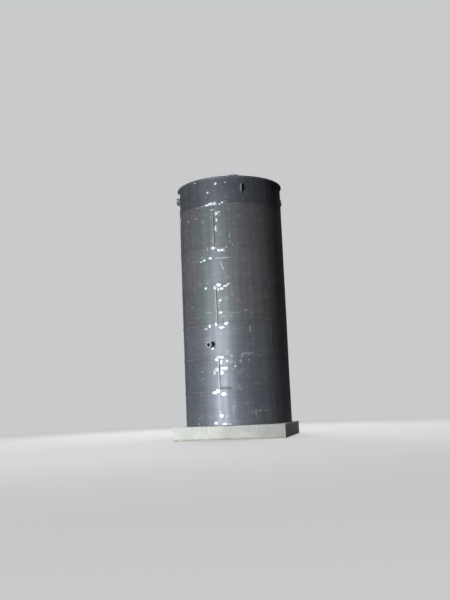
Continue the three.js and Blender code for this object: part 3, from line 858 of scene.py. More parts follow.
# Middle of each, in pixels of the photo, then its width and height in metres
SCUFFS = (
    (225.4, 201.2, 0.06, 0.12), (201.8, 206.6, 0.18, 0.08), (197.4, 208.3, 0.20, 0.06),
    (212.1, 209.5, 0.30, 0.09), (229.6, 234.9, 0.06, 0.22), (212.2, 239.5, 0.035, 0.45),
    (207.4, 248.8, 0.09, 0.19), (226.6, 246.4, 0.10, 0.12), (232.7, 244.7, 0.06, 0.12),
    (188.0, 260.2, 0.24, 0.05), (201.6, 257.6, 0.16, 0.09), (197.0, 261.9, 0.08, 0.09),
    (222.5, 257.6, 0.74, 0.06), (220.2, 261.6, 0.06, 0.14), (221.0, 263.4, 0.06, 0.14),
    (221.7, 265.0, 0.06, 0.14), (222.4, 266.6, 0.06, 0.14), (223.2, 268.2, 0.06, 0.14),
    (212.9, 285.2, 0.07, 0.07), (192.6, 307.4, 0.20, 0.08), (218.8, 306.2, 0.05, 0.07),
    (208.6, 312.8, 0.42, 0.04), (236.5, 312.7, 0.36, 0.03), (246.0, 309.8, 0.24, 0.09),
    (212.6, 324.2, 0.06, 0.09), (235.0, 328.6, 0.06, 0.07), (250.5, 328.8, 0.13, 0.40),
    (242.8, 354.4, 0.15, 0.17), (245.5, 353.2, 0.20, 0.12), (248.8, 353.5, 0.17, 0.15),
    (251.6, 353.0, 0.16, 0.10), (232.0, 355.6, 0.12, 0.14), (198.9, 358.5, 0.05, 0.04),
    (242.6, 356.7, 0.12, 0.12), (191.7, 360.6, 0.22, 0.04), (188.9, 361.4, 0.26, 0.05),
    (203.4, 362.2, 0.05, 0.05), (249.4, 360.0, 0.08, 0.18), (241.0, 360.8, 0.12, 0.16),
    (233.7, 369.1, 0.12, 0.06), (216.5, 369.5, 0.22, 0.25), (201.9, 371.9, 0.12, 0.10),
    (214.5, 372.9, 0.11, 0.24), (220.4, 411.9, 0.08, 0.11), (260.7, 410.2, 0.19, 0.11),
    (264.9, 410.5, 0.15, 0.07), (268.4, 410.1, 0.13, 0.05), (256.5, 411.5, 0.12, 0.22),
    (257.5, 417.3, 0.05, 0.24), (230.0, 424.1, 0.19, 0.06),
)
# Dark marks on the shell, darker than its plates: the middle of each, in pixels of the photo, then its width
# and height in metres.
DARK_MARK_PLACES = ((227.5, 387.9, 0.62, 0.15), (226.6, 234.6, 0.05, 0.22), (208.5, 357.2, 0.3, 0.03))
scuffed = ground_steel("scuffed_steel", (0.32, 0.32, 0.325), 0.48, 0.2)
scuff_marks = bmesh.new()
for across, down, width, tall in SCUFFS:
    absorb(scuff_marks, weld_scar(*seen_at(across, down), width, tall, scar_chance, SCUFF_STEPS))
for _ in range(HIDDEN_SCUFFS):
    azimuth = scar_chance.uniform(HIDDEN_FROM + 20, HIDDEN_TO - 20)
    height = scar_chance.uniform(course_spans[0][0] + 0.3, course_spans[-1][1] - 0.4)
    absorb(scuff_marks, weld_scar(azimuth, height, scar_chance.uniform(0.05, 0.6),
                                  scar_chance.uniform(0.02, 0.09), scar_chance, SCUFF_STEPS))
absorb(scuff_marks, scar_edges)
add_piece("scuff_marks", scuff_marks, scuffed, "shell_steel", sharp=60)
dark_mark_finish = rolled_steel("dark_mark_steel", (0.088, 0.090, 0.095, 1), (0.105, 0.106, 0.11, 1), 0.1, 0.52)
dark_shell_marks = bmesh.new()
for across, down, width, tall in DARK_MARK_PLACES:
    absorb(dark_shell_marks, weld_scar(*seen_at(across, down), width, tall, scar_chance, SCUFF_STEPS))
add_piece("dark_shell_marks", dark_shell_marks, dark_mark_finish, "shell_steel", sharp=60)


# Rim angle
# A rolled steel angle, 65 by 65 by 8 mm, bent round the top course with one leg level with the rim.
# Its three lengths are butt welded, and its lower edge is fillet welded to the shell.
ANGLE_THICKNESS = 0.008
ANGLE_ROOT = 0.006
ANGLE_COLUMNS = 240
ANGLE_JOINTS = 3
ANGLE_JOINT_AZIMUTH = 28
FIT_GAP = 0.0003
curb_low, curb_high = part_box("top_curb_angle")
curb_leg = curb_high.z - curb_low.z
leg_inside = SHELL_RADIUS + FIT_GAP
leg_outside = leg_inside + ANGLE_THICKNESS
shelf_under = curb_high.z - ANGLE_THICKNESS
rim_angle = turned_ring([
    (leg_inside, curb_low.z), (leg_outside - 0.003, curb_low.z), (leg_outside, curb_low.z + 0.003),
    (leg_outside, shelf_under - ANGLE_ROOT),
    (leg_outside + ANGLE_ROOT * 0.3, shelf_under - ANGLE_ROOT * 0.3),
    (leg_outside + ANGLE_ROOT, shelf_under), (leg_inside + curb_leg - 0.003, shelf_under),
    (leg_inside + curb_leg, shelf_under + 0.003), (leg_inside + curb_leg, curb_high.z),
    (leg_inside, curb_high.z)], ANGLE_COLUMNS)
angle_steel = rolled_steel("rim_angle_steel", (0.135, 0.14, 0.152, 1), (0.125, 0.124, 0.134, 1), 0.12, 0.50)
add_piece("rim_angle", follow_shell(rim_angle), angle_steel, "shell_steel", "top_curb_angle")
rim_welds = bead_ring(SHELL_RADIUS + ANGLE_THICKNESS * 0.6, curb_low.z, 0.006, 0.006, BEAD_COLUMNS)
ruffle(follow_shell(rim_welds), BEAD_UNEVEN, 22)
for joint in range(ANGLE_JOINTS):
    azimuth = ANGLE_JOINT_AZIMUTH + joint * 360 / ANGLE_JOINTS
    absorb(rim_welds, straight_bead(point_at(azimuth, leg_outside, curb_high.z - 0.001),
                                    point_at(azimuth, leg_inside + curb_leg, curb_high.z - 0.001), 0.006))
    absorb(rim_welds, straight_bead(point_at(azimuth, leg_outside, curb_low.z),
                                    point_at(azimuth, leg_outside, shelf_under), 0.006))
add_piece("rim_angle_welds", rim_welds, weld_metal, "shell_steel", sharp=70)


# Roof
# A low self-supporting cone of twelve sector plates, 6 mm thick. Each laps over the next and is fillet
# welded along the lap, as the crown plate is over their points. The eave rests on the rim angle.
ROOF_SLOPE = 1 / 6
ROOF_THICKNESS = 0.006
ROOF_RADIUS = 2.495
ROOF_SECTORS = 12
ROOF_LAP = 1.2                   # degrees
ROOF_RADII = (0.30, 0.55, 0.85, 1.15, 1.45, 1.75, 2.05, 2.3, ROOF_RADIUS)
ROOF_COLUMNS = 14
ROOF_SAG = 0.006
CROWN_RADIUS = 0.42
CROWN_BORE = 0.0448              # for the vent pipe
MANHOLE_HOLE_RADIUS = 0.2288
MANHOLE_HOLE_REACH = 28          # degrees from the manhole to the middle of a sector that it may cut
MANHOLE_AZIMUTH = 20
MANHOLE_OFFSET = 1.35
manhole_centre = point_at(MANHOLE_AZIMUTH, MANHOLE_OFFSET, 0)


def roof_top(place):
    """The height of the cone's upper side at a place."""
    return rim + (ROOF_RADIUS - place.xy.length) * ROOF_SLOPE + ROOF_THICKNESS


def roof_sector(start):
    sector = bmesh.new()
    points = [sector.verts.new(point_at(start, radius, 0)) for radius in ROOF_RADII]
    lines = [sector.edges.new(pair) for pair in zip(points, points[1:])]
    sweep = 360 / ROOF_SECTORS + ROOF_LAP
    bmesh.ops.spin(sector, geom=points + lines, cent=(0, 0, 0), axis=(0, 0, 1),
                   angle=math.radians(sweep), steps=ROOF_COLUMNS)
    for vert in sector.verts:
        share = ((azimuth_of(vert.co) - start + 1) % 360 - 1) / sweep
        lifted = ROOF_THICKNESS * (1 - share)
        sag = ROOF_SAG * math.sin(math.pi * share) * (0.5 + noise.noise(vert.co * 1.3))
        vert.co.z = roof_top(vert.co) + lifted - sag * vert.co.xy.length / ROOF_RADIUS
    bmesh.ops.recalc_face_normals(sector, faces=sector.faces)
    if sector.faces[0].normal.z < 0:
        bmesh.ops.reverse_faces(sector, faces=sector.faces)
    bmesh.ops.solidify(sector, geom=sector.faces[:], thickness=ROOF_THICKNESS)
    return sector


def roof_plate_steel():
    """Mill scale that differs a little from sector to sector, darkened by heat beside each lap."""
    finish, tree, shader, place = new_finish("roof_steel", 0.4)
    skin = use_group(tree, mill_scale, {
        "Place": place, "First Color": (0.118, 0.123, 0.132, 1), "Second Color": (0.110, 0.106, 0.108, 1),
        "Rust Color": (0.145, 0.075, 0.042, 1), "Rust": 0.22, "Roughness": 0.52})
    across, along, _ = add_node(tree, "ShaderNodeSeparateXYZ", {0: place}).outputs
    angle = calculate(tree, "ARCTAN2", across, calculate(tree, "MULTIPLY", along, -1))
    sectors = calculate(tree, "MULTIPLY_ADD", angle, ROOF_SECTORS / (2 * math.pi),
                        -SEAM_AZIMUTH * ROOF_SECTORS / 360)
    number = calculate(tree, "WRAP", calculate(tree, "FLOOR", sectors), ROOF_SECTORS, 0)
    chance = add_node(tree, "ShaderNodeTexWhiteNoise", {"W": number}, noise_dimensions="1D").outputs[0]
    colour = tone(tree, skin["Color"], spread(tree, chance, 0, 1, 0.84, 1.14))
    part = calculate(tree, "FRACT", sectors)
    beside = calculate(tree, "MINIMUM", part, calculate(tree, "SUBTRACT", 1, part))
    flat = add_node(tree, "ShaderNodeVectorMath", {0: place, 1: (1, 1, 0)}, operation="MULTIPLY").outputs[0]
    reach = add_node(tree, "ShaderNodeVectorMath", {0: flat}, operation="LENGTH").outputs["Value"]
    turn_from_lap = calculate(tree, "MULTIPLY", beside, 2 * math.pi / ROOF_SECTORS)
    from_lap = calculate(tree, "MULTIPLY", turn_from_lap, reach)
    strayed = calculate(tree, "ADD", from_lap, cloud(tree, place, 12, 5, 0.2, 0.8, -0.012, 0.012))
    colour = tone(tree, colour, spread(tree, strayed, 0.03, 0.055, 0.72, 1.0))
    finish_surface(tree, shader, colour, skin["Roughness"], skin["Height"], 0.0008)
    return finish


roof = bmesh.new()
roof_welds = bmesh.new()
neck_low, neck_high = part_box("roof_manhole_neck")
for number in range(ROOF_SECTORS):
    start = SEAM_AZIMUTH + number * 360 / ROOF_SECTORS
    sector = roof_sector(start)
    if abs(start + 180 / ROOF_SECTORS - MANHOLE_AZIMUTH) < MANHOLE_HOLE_REACH:
        hole = round_bar(MANHOLE_HOLE_RADIUS, neck_low.z - 0.2, neck_high.z + 0.1, 64)
        move(hole, manhole_centre)
        sector = cut_away(sector, hole)
    absorb(roof, sector)
    lap = [point_at(start, radius, 0) for radius in (CROWN_RADIUS, ROOF_RADIUS - 0.004)]
    for end in lap:
        end.z = roof_top(end) + 0.001
    absorb(roof_welds, straight_bead(lap[0], lap[1], 0.005))
crown_under, crown_edge_under = (roof_top(Vector((0, radius, 0))) + 0.004
                                 for radius in (CROWN_BORE, CROWN_RADIUS))
absorb(roof, turned_ring([
    (CROWN_BORE, crown_under), (CROWN_RADIUS, crown_edge_under), (CROWN_RADIUS, crown_edge_under + 0.005),
    (CROWN_RADIUS - 0.001, crown_edge_under + 0.006), (CROWN_BORE, crown_under + 0.006)], 96))
absorb(roof_welds, bead_ring(CROWN_RADIUS, crown_edge_under, 0.006, 0.006, 240))
absorb(roof_welds, bead_ring(ROOF_RADIUS, rim + 0.002, 0.005, 0.005, BEAD_COLUMNS))
add_piece("roof_plates", roof, roof_plate_steel(), "roof_steel", "roof_cone", sharp=30)
roof_weld_metal = rolled_steel("roof_weld_metal", (0.23, 0.235, 0.245, 1), (0.20, 0.195, 0.195, 1), 0.2, 0.5)
add_piece("roof_welds", ruffle(roof_welds, 0.001, 25), roof_weld_metal, "roof_steel", sharp=70)


# Roof manhole
# A rolled neck through the roof with a pad round its foot, a ring flange, and a flat bolted cover with
# two bent handles. Sixteen zinc-plated bolts with washers hold it down. The neck and its flange are pale:
# painted highlight for the glint of light along their edge.
MANHOLE_BOLTS = 16
BOLT_CIRCLE = 0.256
BOLT_CORNER_RADIUS = 0.0139      # of the hexagons of head and nut
BOLT_HEAD = 0.010
BOLT_CHAMFER = 0.0008
BOLT_RADIUS = 0.008
BOLT_END = 0.012                 # height of the shank's end, which starts inside the nut
BOLT_END_DROP = 0.024
NUT_HEIGHT = 0.013
WASHER_THICKNESS = 0.0025
FLANGE_THICKNESS = 0.012
NECK_RADIUS = 0.2285
NECK_WALL = 0.008
NECK_PAD_RADIUS = 0.33
HANDLE_RADIUS = 0.055
HANDLE_BAR = 0.007
HANDLE_OFFSET = 0.12             # from the cover's middle
cover_low, cover_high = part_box("roof_manhole_cover")
cover_radius = (cover_high.x - cover_low.x) / 2


def hex_bolt(place, grip):
    """A bolt down through a joint: head and washer on top, nut and shank end below."""
    bolt = bmesh.new()
    for low, radius, tall, corners in (
            (0, BOLT_CORNER_RADIUS * 1.12, WASHER_THICKNESS, 18),
            (WASHER_THICKNESS, BOLT_CORNER_RADIUS, BOLT_HEAD, 6),
            (-grip - NUT_HEIGHT, BOLT_CORNER_RADIUS, NUT_HEIGHT, 6),
            (-grip - BOLT_END_DROP, BOLT_RADIUS, BOLT_END, 12)):
        part = round_bar(radius, low, low + tall, corners)
        ends = [edge for edge in part.edges if edge.verts[0].co.z == edge.verts[1].co.z]
        bevel_edges(part, ends, BOLT_CHAMFER)
        absorb(bolt, part)
    move(bolt, place)
    return bolt


def lay_on_roof(shape, centre):
    """Moves a shape to its place over the roof and lets it follow the slope of the cone."""
    for vert in shape.verts:
        vert.co += centre
        vert.co.z += roof_top(vert.co)
    return shape


flange_under = neck_high.z - FLANGE_THICKNESS
neck = turned_ring([
    (NECK_RADIUS - NECK_WALL, neck_low.z), (NECK_RADIUS, neck_low.z),
    (NECK_RADIUS, flange_under - 0.006), (NECK_RADIUS + 0.006, flange_under),
    (cover_radius - EDGE_BREAK, flange_under), (cover_radius, flange_under + EDGE_BREAK),
    (cover_radius, neck_high.z - EDGE_BREAK), (cover_radius - EDGE_BREAK, neck_high.z),
    (NECK_RADIUS - NECK_WALL, neck_high.z)], 96)
move(neck, manhole_centre)
neck_pad = turned_ring([(NECK_RADIUS, 0), (NECK_PAD_RADIUS, 0), (NECK_PAD_RADIUS, 0.006),
                        (NECK_PAD_RADIUS - 0.001, 0.007), (NECK_RADIUS, 0.007)], 96)
absorb(neck, lay_on_roof(neck_pad, manhole_centre))
# Pale neck and flange: painted highlight for the glint along their edge.
neck_steel = rolled_steel("manhole_neck_steel", (0.56, 0.57, 0.58, 1), (0.48, 0.49, 0.50, 1), 0.10, 0.45)
add_piece("manhole_neck", neck, neck_steel, "roof_steel", "roof_manhole_neck", sharp=30)
neck_welds = lay_on_roof(bead_ring(NECK_RADIUS, 0.008, 0.008, 0.007, 180), manhole_centre)
absorb(neck_welds, lay_on_roof(bead_ring(NECK_PAD_RADIUS, 0.001, 0.006, 0.006, 180), manhole_centre))
add_piece("manhole_neck_welds", ruffle(neck_welds, 0.001, 30), weld_metal, "roof_steel", sharp=70)

cover = turned_ring([
    (0, cover_low.z), (cover_radius - 0.002, cover_low.z), (cover_radius, cover_low.z + 0.002),
    (cover_radius, cover_high.z - 0.002), (cover_radius - 0.002, cover_high.z), (0, cover_high.z)], 96)
for side in (-1, 1):
    handle = bmesh.new()
    bmesh.ops.create_circle(handle, cap_ends=True, segments=10, radius=HANDLE_BAR)
    move(handle, (HANDLE_RADIUS, 0, 0))
    bmesh.ops.spin(handle, geom=handle.faces[:], cent=(0, 0, 0), axis=(0, 1, 0), angle=-math.pi, steps=20)
    bmesh.ops.recalc_face_normals(handle, faces=handle.faces)
    move(handle, (0, side * HANDLE_OFFSET, cover_high.z - 0.002))
    absorb(cover, handle)
move(cover, manhole_centre)
cover_steel = rolled_steel("manhole_cover_steel", (0.34, 0.345, 0.35, 1), (0.29, 0.29, 0.295, 1), 0.15, 0.48)
add_piece("manhole_cover", cover, cover_steel, "roof_steel", "roof_manhole_cover", sharp=30)

zinc = ground_steel("zinc_plated_steel", (0.55, 0.56, 0.58), 0.38, 0.25)
manhole_bolts = bmesh.new()
for number in range(MANHOLE_BOLTS):
    place = point_at((number + 0.5) * 360 / MANHOLE_BOLTS, BOLT_CIRCLE, cover_high.z) + manhole_centre
    absorb(manhole_bolts, hex_bolt(place, 2 * FLANGE_THICKNESS))
add_piece("manhole_bolts", manhole_bolts, zinc, "trim_steel", sharp=25)


# Roof vent
# A steel pipe through the crown plate, and two welded elbows that turn its mouth down to the rear, so
# that rain stays out. A wire screen held by a strap closes the mouth to birds.
PIPE_RADIUS = 0.0445
PIPE_WALL = 0.005
BEND_RADIUS = 0.1
BEND_STEPS = 36
SCREEN_CELLS = 8
SCREEN_WIRE = 0.002
vent_low, vent_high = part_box("roof_vent_pipe")
trim_steel = rolled_steel("trim_steel", (0.19, 0.175, 0.165, 1), (0.17, 0.145, 0.13, 1), 0.35, 0.50)
vent_pipe = turned_ring([
    (PIPE_RADIUS - PIPE_WALL, vent_low.z), (PIPE_RADIUS, vent_low.z),
    (PIPE_RADIUS, vent_high.z), (PIPE_RADIUS - PIPE_WALL, vent_high.z)], 48)
add_piece("vent_pipe", vent_pipe, trim_steel, "trim_steel", "roof_vent_pipe", sharp=30)

vent_bend = bmesh.new()
bmesh.ops.create_circle(vent_bend, cap_ends=False, segments=48, radius=PIPE_RADIUS)
bmesh.ops.spin(vent_bend, geom=vent_bend.verts[:] + vent_bend.edges[:], cent=(0, BEND_RADIUS, 0),
               axis=(1, 0, 0), angle=-math.pi, steps=BEND_STEPS)
bmesh.ops.recalc_face_normals(vent_bend, faces=vent_bend.faces)
bmesh.ops.solidify(vent_bend, geom=vent_bend.faces[:], thickness=PIPE_WALL)
move(vent_bend, (0, 0, vent_high.z))
add_piece("vent_bend", vent_bend, trim_steel, "trim_steel", "roof_vent_elbow_1", "roof_vent_elbow_2",
          sharp=30)

vent_welds = bead_ring(PIPE_RADIUS, vent_high.z, 0.003, 0.005, 60)
absorb(vent_welds, bead_ring(PIPE_RADIUS, crown_under + 0.008, 0.007, 0.006, 60))
middle_weld = bead_ring(PIPE_RADIUS, 0, 0.003, 0.005, 60)
upright_to_level = Matrix.Translation((0, BEND_RADIUS, vent_high.z + BEND_RADIUS)) @ Matrix.Rotation(
    math.radians(90), 4, "X")
bmesh.ops.transform(middle_weld, matrix=upright_to_level, verts=middle_weld.verts)
absorb(vent_welds, middle_weld)
add_piece("vent_welds", ruffle(vent_welds, 0.0008, 40), weld_metal, "trim_steel", sharp=70)

screen = bmesh.new()
bmesh.ops.create_grid(screen, x_segments=SCREEN_CELLS, y_segments=SCREEN_CELLS, size=PIPE_RADIUS - 0.002)
outside = [vert for vert in screen.verts if vert.co.length > PIPE_RADIUS]
bmesh.ops.delete(screen, geom=outside, context="VERTS")
bmesh.ops.wireframe(screen, faces=screen.faces[:], thickness=SCREEN_WIRE, use_replace=True,
                    use_boundary=True, use_even_offset=True)
strap = turned_ring([(PIPE_RADIUS, -0.004), (PIPE_RADIUS + 0.0015, -0.004), (PIPE_RADIUS + 0.0015, 0.018),
                     (PIPE_RADIUS, 0.018)], 48)
absorb(screen, strap)
move(screen, (0, 2 * BEND_RADIUS, vent_high.z))
add_piece("vent_screen", screen, zinc, "trim_steel", sharp=30)


# Nozzle
# A DN150 pipe stub through the third course, with a reinforcing pad on the shell and a slip-on flange
# with a raised face and eight bolt holes. The pipe is pale, as painted light that lifts it in the shade
# of its flange, and nothing is connected to it yet.
NOZZLE_NECK_RADIUS = 0.08415
NOZZLE_NECK_WALL = 0.0071
NOZZLE_FACE = 2.75
NOZZLE_FLANGE_RADIUS = 0.14
NOZZLE_FLANGE_THICKNESS = 0.025
NOZZLE_BOLT_CIRCLE = 0.1205
NOZZLE_BOLT_HOLE = 0.011
NOZZLE_BOLTS = 8
RAISED_FACE_RADIUS = 0.108
RAISED_FACE = 0.002
NOZZLE_PAD_RADIUS = 0.19
PAD_THICKNESS = 0.008
PAD_RING = 0.135                 # radius of a ring of points that lets the pad bend with the shell
neck_start = SHELL_RADIUS - SHELL_THICKNESS - 0.012
neck_end = NOZZLE_FACE - 0.006
flange_back = NOZZLE_FACE - NOZZLE_FLANGE_THICKNESS
# The pipe's pale colour is painted light that lifts it in the shade of its flange.
nozzle_steel = rolled_steel("nozzle_steel", (0.60, 0.605, 0.61, 1), (0.54, 0.535, 0.53, 1), 0.15, 0.50, 0.0)
pad_steel = rolled_steel("nozzle_pad_steel", (0.17, 0.18, 0.19, 1), (0.16, 0.16, 0.17, 1), 0.12, 0.50)


def at_nozzle(shape):
    bmesh.ops.transform(shape, matrix=to_nozzle, verts=shape.verts)
    return shape


nozzle_neck = turned_ring([
    (NOZZLE_NECK_RADIUS - NOZZLE_NECK_WALL, neck_start), (NOZZLE_NECK_RADIUS, neck_start),
    (NOZZLE_NECK_RADIUS, neck_end), (NOZZLE_NECK_RADIUS - NOZZLE_NECK_WALL, neck_end)], 64)
add_piece("nozzle_pipe", at_nozzle(nozzle_neck), nozzle_steel, "trim_steel", "nozzle_neck", sharp=30)

raised_base = NOZZLE_FACE - RAISED_FACE
flange = turned_ring([
    (NOZZLE_NECK_RADIUS, flange_back - 0.01), (NOZZLE_NECK_RADIUS + 0.016, flange_back - 0.01),
    (NOZZLE_NECK_RADIUS + 0.020, flange_back), (NOZZLE_FLANGE_RADIUS - 0.002, flange_back),
    (NOZZLE_FLANGE_RADIUS, flange_back + 0.002), (NOZZLE_FLANGE_RADIUS, raised_base - 0.002),
    (NOZZLE_FLANGE_RADIUS - 0.002, raised_base), (RAISED_FACE_RADIUS, raised_base),
    (RAISED_FACE_RADIUS - 0.001, NOZZLE_FACE), (NOZZLE_NECK_RADIUS, NOZZLE_FACE)], 96)
drills = bmesh.new()
for number in range(NOZZLE_BOLTS):
    drill = round_bar(NOZZLE_BOLT_HOLE, flange_back - 0.05, NOZZLE_FACE + 0.05, 20)
    centre = point_at((number + 0.5) * 360 / NOZZLE_BOLTS, NOZZLE_BOLT_CIRCLE, 0)
    move(drill, centre)
    absorb(drills, drill)
flange = cut_away(flange, drills)
flange_steel = ground_steel("machined_flange_steel", (0.24, 0.24, 0.245), 0.45, 0.5)
add_piece("nozzle_ring_flange", at_nozzle(flange), flange_steel, "trim_steel", "nozzle_flange", sharp=30)

pad = turned_ring([
    (NOZZLE_NECK_RADIUS, 0), (PAD_RING, 0), (NOZZLE_PAD_RADIUS, 0),
    (NOZZLE_PAD_RADIUS, PAD_THICKNESS - EDGE_BREAK), (NOZZLE_PAD_RADIUS - EDGE_BREAK, PAD_THICKNESS),
    (PAD_RING, PAD_THICKNESS), (NOZZLE_NECK_RADIUS, PAD_THICKNESS)], 64)
lay_on_shell(pad, NOZZLE_AZIMUTH, NOZZLE_LEVEL)
add_piece("nozzle_reinforcing_pad", pad, pad_steel, "trim_steel", "nozzle_pad", sharp=30)

pad_weld = bead_ring(NOZZLE_PAD_RADIUS, 0.002, 0.008, 0.006, 120)
nozzle_welds = lay_on_shell(pad_weld, NOZZLE_AZIMUTH, NOZZLE_LEVEL)
neck_weld = bead_ring(NOZZLE_NECK_RADIUS, PAD_THICKNESS + 0.003, 0.009, 0.008, 90)
absorb(nozzle_welds, lay_on_shell(neck_weld, NOZZLE_AZIMUTH, NOZZLE_LEVEL))
absorb(nozzle_welds, at_nozzle(bead_ring(NOZZLE_NECK_RADIUS, flange_back - 0.011, 0.008, 0.007, 90)))
absorb(nozzle_welds, at_nozzle(bead_ring(NOZZLE_NECK_RADIUS - 0.003, neck_end, 0.004, 0.004, 90)))
add_piece("nozzle_welds", ruffle(nozzle_welds, 0.001, 30), weld_metal, "trim_steel", sharp=70)
weld_run = weld_scar(NOZZLE_AZIMUTH + 1.0, NOZZLE_LEVEL - 0.155, 0.15, 0.11, scar_chance,
                     ((PAD_THICKNESS + 0.003, 0.9), (0.001, 0.6)))
add_piece("nozzle_ground_weld", weld_run, ground_bright, "trim_steel", sharp=60)


# Lifting lugs
# Four upright plates, 20 mm thick, fillet welded on edge to the top course. A shackle goes through each
# hole to lift the tank on to its plinth. Their edges are flame cut.
LUG_AZIMUTHS = (23.5, 113.5, 203.5, 293.5)
LUG_THICKNESS = 0.020
LUG_REACH = 0.155
LUG_FOOT = LUG_REACH * 0.35
LUG_HEIGHT = 0.385
LUG_SLOPE = 0.09
LUG_CORNER = 0.06
LUG_HOLE = 0.030
LUG_HOLE_INSET = 0.065
LUG_HOLE_DROP = 0.1
LUG_SUNK = 0.006                 # how far its edge reaches into the shell plate's waves
# The front lug's steel is paler than the other three's: painted highlight where it catches the light.
lit_lug_steel = rolled_steel("lit_lug_steel", (0.42, 0.42, 0.43, 1), (0.36, 0.35, 0.35, 1), 0.15, 0.48)
lug_steel = rolled_steel("lifting_lug_steel", (0.25, 0.255, 0.265, 1), (0.22, 0.215, 0.215, 1), 0.2, 0.5)


def lifting_lug(azimuth, bottom):
    outline = ((-LUG_SUNK, 0), (LUG_FOOT, 0), (LUG_REACH, LUG_SLOPE), (LUG_REACH, LUG_HEIGHT),
               (-LUG_SUNK, LUG_HEIGHT))
    lug = bmesh.new()
    points = [lug.verts.new((out, 0, up)) for out, up in outline]
    lug.faces.new(points)
    bmesh.ops.bevel(lug, geom=[points[3]], offset=LUG_CORNER, affect="VERTICES", segments=10, profile=0.5,
                    material=-1)
    grown = bmesh.ops.extrude_face_region(lug, geom=lug.faces[:])["geom"]
    moved = [item for item in grown if isinstance(item, bmesh.types.BMVert)]
    bmesh.ops.translate(lug, vec=(0, LUG_THICKNESS, 0), verts=moved)
    move(lug, (0, -LUG_THICKNESS / 2, 0))
    bmesh.ops.recalc_face_normals(lug, faces=lug.faces)
    hole = round_bar(LUG_HOLE, -0.1, 0.1, 40)
    on_side = Matrix.Rotation(math.radians(90), 3, "X")
    bmesh.ops.rotate(hole, cent=(0, 0, 0), matrix=on_side, verts=hole.verts)
    move(hole, (LUG_REACH - LUG_HOLE_INSET, 0, LUG_HEIGHT - LUG_HOLE_DROP))
    lug = cut_away(lug, hole)
    corners = [edge for edge in lug.edges if edge.calc_face_angle(0) > math.radians(50)]
    bevel_edges(lug, corners, EDGE_BREAK)
    seat = surface_radius(azimuth, bottom + LUG_HEIGHT / 2)
    place = Matrix.Rotation(math.radians(azimuth - 90), 4, "Z") @ Matrix.Translation((seat, 0, bottom))
    bmesh.ops.transform(lug, matrix=place, verts=lug.verts)
    return lug


for number, azimuth in enumerate(LUG_AZIMUTHS, 1):
    lug_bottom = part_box(f"lifting_lug_{number}")[0].z
    lug = lifting_lug(azimuth, lug_bottom)
    add_piece(f"lug_{number}", lug, lit_lug_steel if number == 1 else lug_steel, "trim_steel",
              f"lifting_lug_{number}", sharp=30)
    lug_welds = bmesh.new()
    for side in (-1, 1):
        beside = azimuth + side * math.degrees(LUG_THICKNESS / 2 / SHELL_RADIUS)
        foot = point_at(beside, SHELL_RADIUS, lug_bottom)
        absorb(lug_welds, straight_bead(foot, foot + Vector((0, 0, LUG_HEIGHT)), 0.009))
    add_piece(f"lug_{number}_welds", follow_shell(lug_welds), weld_metal, "trim_steel", sharp=70)


# Studio
# A pale floor under a plain pale sky. One low cool lamp on the left draws the band of light down the
# shell, weaker ones light its far sides, and a soft one high above lights roof and floor.
FLOOR_HALF = 300
BACKDROP_COLOUR = (0.97, 0.985, 1.0, 1)
BACKDROP_STRENGTH = 0.60
FLOOR_LIT_TO = 11                # metres from the tank: past this the floor takes on the sky's tone
FLOOR_PAINT_TO = 27
FLOOR_GLOW_TO = 30
LAMPS = (
    # name, azimuth, distance, height, height aimed at, width, tall, watts, colour
    ("low_lamp", -21, 36, 1.9, 1.9, 7.0, 3.4, 14700, (0.93, 1.0, 1.065)),
    ("side_lamp", 150, 15, 34, 4, 9.0, 9.0, 2500, (1, 1, 1)),
    ("rear_lamp", 205, 20, 20, 4, 10.0, 10.0, 6000, (1, 1, 1)),
    ("top_lamp", 0, 0, 60, 0, 16.0, 16.0, 26000, (1, 1, 1)),
)
floor = bmesh.new()
bmesh.ops.create_grid(floor, x_segments=1, y_segments=1, size=FLOOR_HALF)
floor_mesh = bpy.data.meshes.new("studio_floor")
floor.to_mesh(floor_mesh)
floor.free()
studio_floor = bpy.data.objects.new("studio_floor", floor_mesh)
bpy.context.scene.collection.objects.link(studio_floor)
floor_paint = bpy.data.materials.new("pale_floor")
floor_paint.use_nodes = True
tree = floor_paint.node_tree
shader = tree.nodes["Principled BSDF"]
shader.inputs["Roughness"].default_value = 0.9
shader.inputs["Emission Color"].default_value = BACKDROP_COLOUR
in_view = add_node(tree, "ShaderNodeLightPath").outputs["Is Camera Ray"]
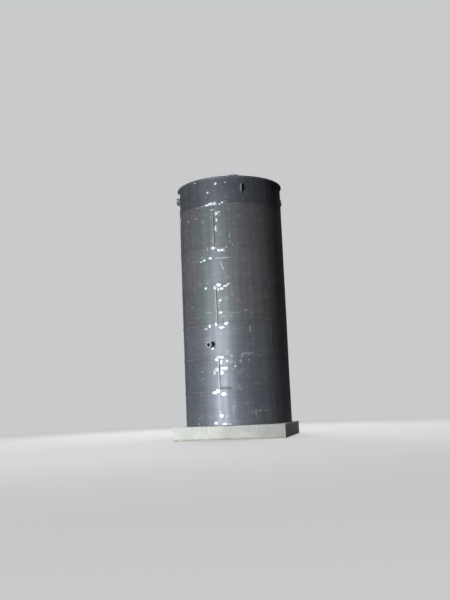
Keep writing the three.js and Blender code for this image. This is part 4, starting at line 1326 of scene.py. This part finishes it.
floor_place = add_node(tree, "ShaderNodeTexCoord").outputs["Object"]
away = add_node(tree, "ShaderNodeVectorMath", {0: floor_place}, operation="LENGTH").outputs["Value"]
near_paint = mix_colours(tree, in_view, (0.16, 0.16, 0.16, 1), (0.22, 0.22, 0.22, 1))
far_paint = mix_colours(tree, spread(tree, away, FLOOR_LIT_TO, FLOOR_PAINT_TO), near_paint, (0, 0, 0, 1))
tree.links.new(far_paint, shader.inputs["Base Color"])
glow = spread(tree, away, FLOOR_LIT_TO, FLOOR_GLOW_TO, 0.42, BACKDROP_STRENGTH)
tree.links.new(calculate(tree, "MULTIPLY", glow, in_view), shader.inputs["Emission Strength"])
shader.inputs["Specular IOR Level"].default_value = 0.0
floor_mesh.materials.append(floor_paint)

for name, azimuth, distance, height, aimed, width, tall, watts, colour in LAMPS:
    light = bpy.data.lights.new(name, "AREA")
    light.shape = "RECTANGLE"
    light.size = width
    light.size_y = tall
    light.energy = watts
    light.color = colour
    lamp = bpy.data.objects.new(name, light)
    lamp.location = point_at(azimuth, distance, height)
    lamp.rotation_euler = (Vector((0, 0, aimed)) - lamp.location).to_track_quat("-Z", "Y").to_euler()
    lamp.visible_camera = False
    bpy.context.scene.collection.objects.link(lamp)

world = bpy.data.worlds.new("studio_sky")
bpy.context.scene.world = world
world.use_nodes = True
sky = world.node_tree
backdrop = sky.nodes["Background"]
backdrop.inputs["Color"].default_value = BACKDROP_COLOUR
seen = add_node(sky, "ShaderNodeLightPath").outputs["Is Camera Ray"]
sky.links.new(spread(sky, seen, 0, 1, 0.03, BACKDROP_STRENGTH), backdrop.inputs["Strength"])
bpy.context.scene.view_settings.view_transform = "Standard"


# Camera
# It stands where the photograph was taken from: a little right of the front, at eye height, 35 m away.
camera_data = bpy.data.cameras.new("camera")
camera_data.sensor_width = CAMERA_SENSOR
camera_data.lens = CAMERA_LENS
camera_data.clip_end = 1000
camera = bpy.data.objects.new("camera", camera_data)
camera.matrix_world = camera_place
bpy.context.scene.collection.objects.link(camera)
bpy.context.scene.camera = camera
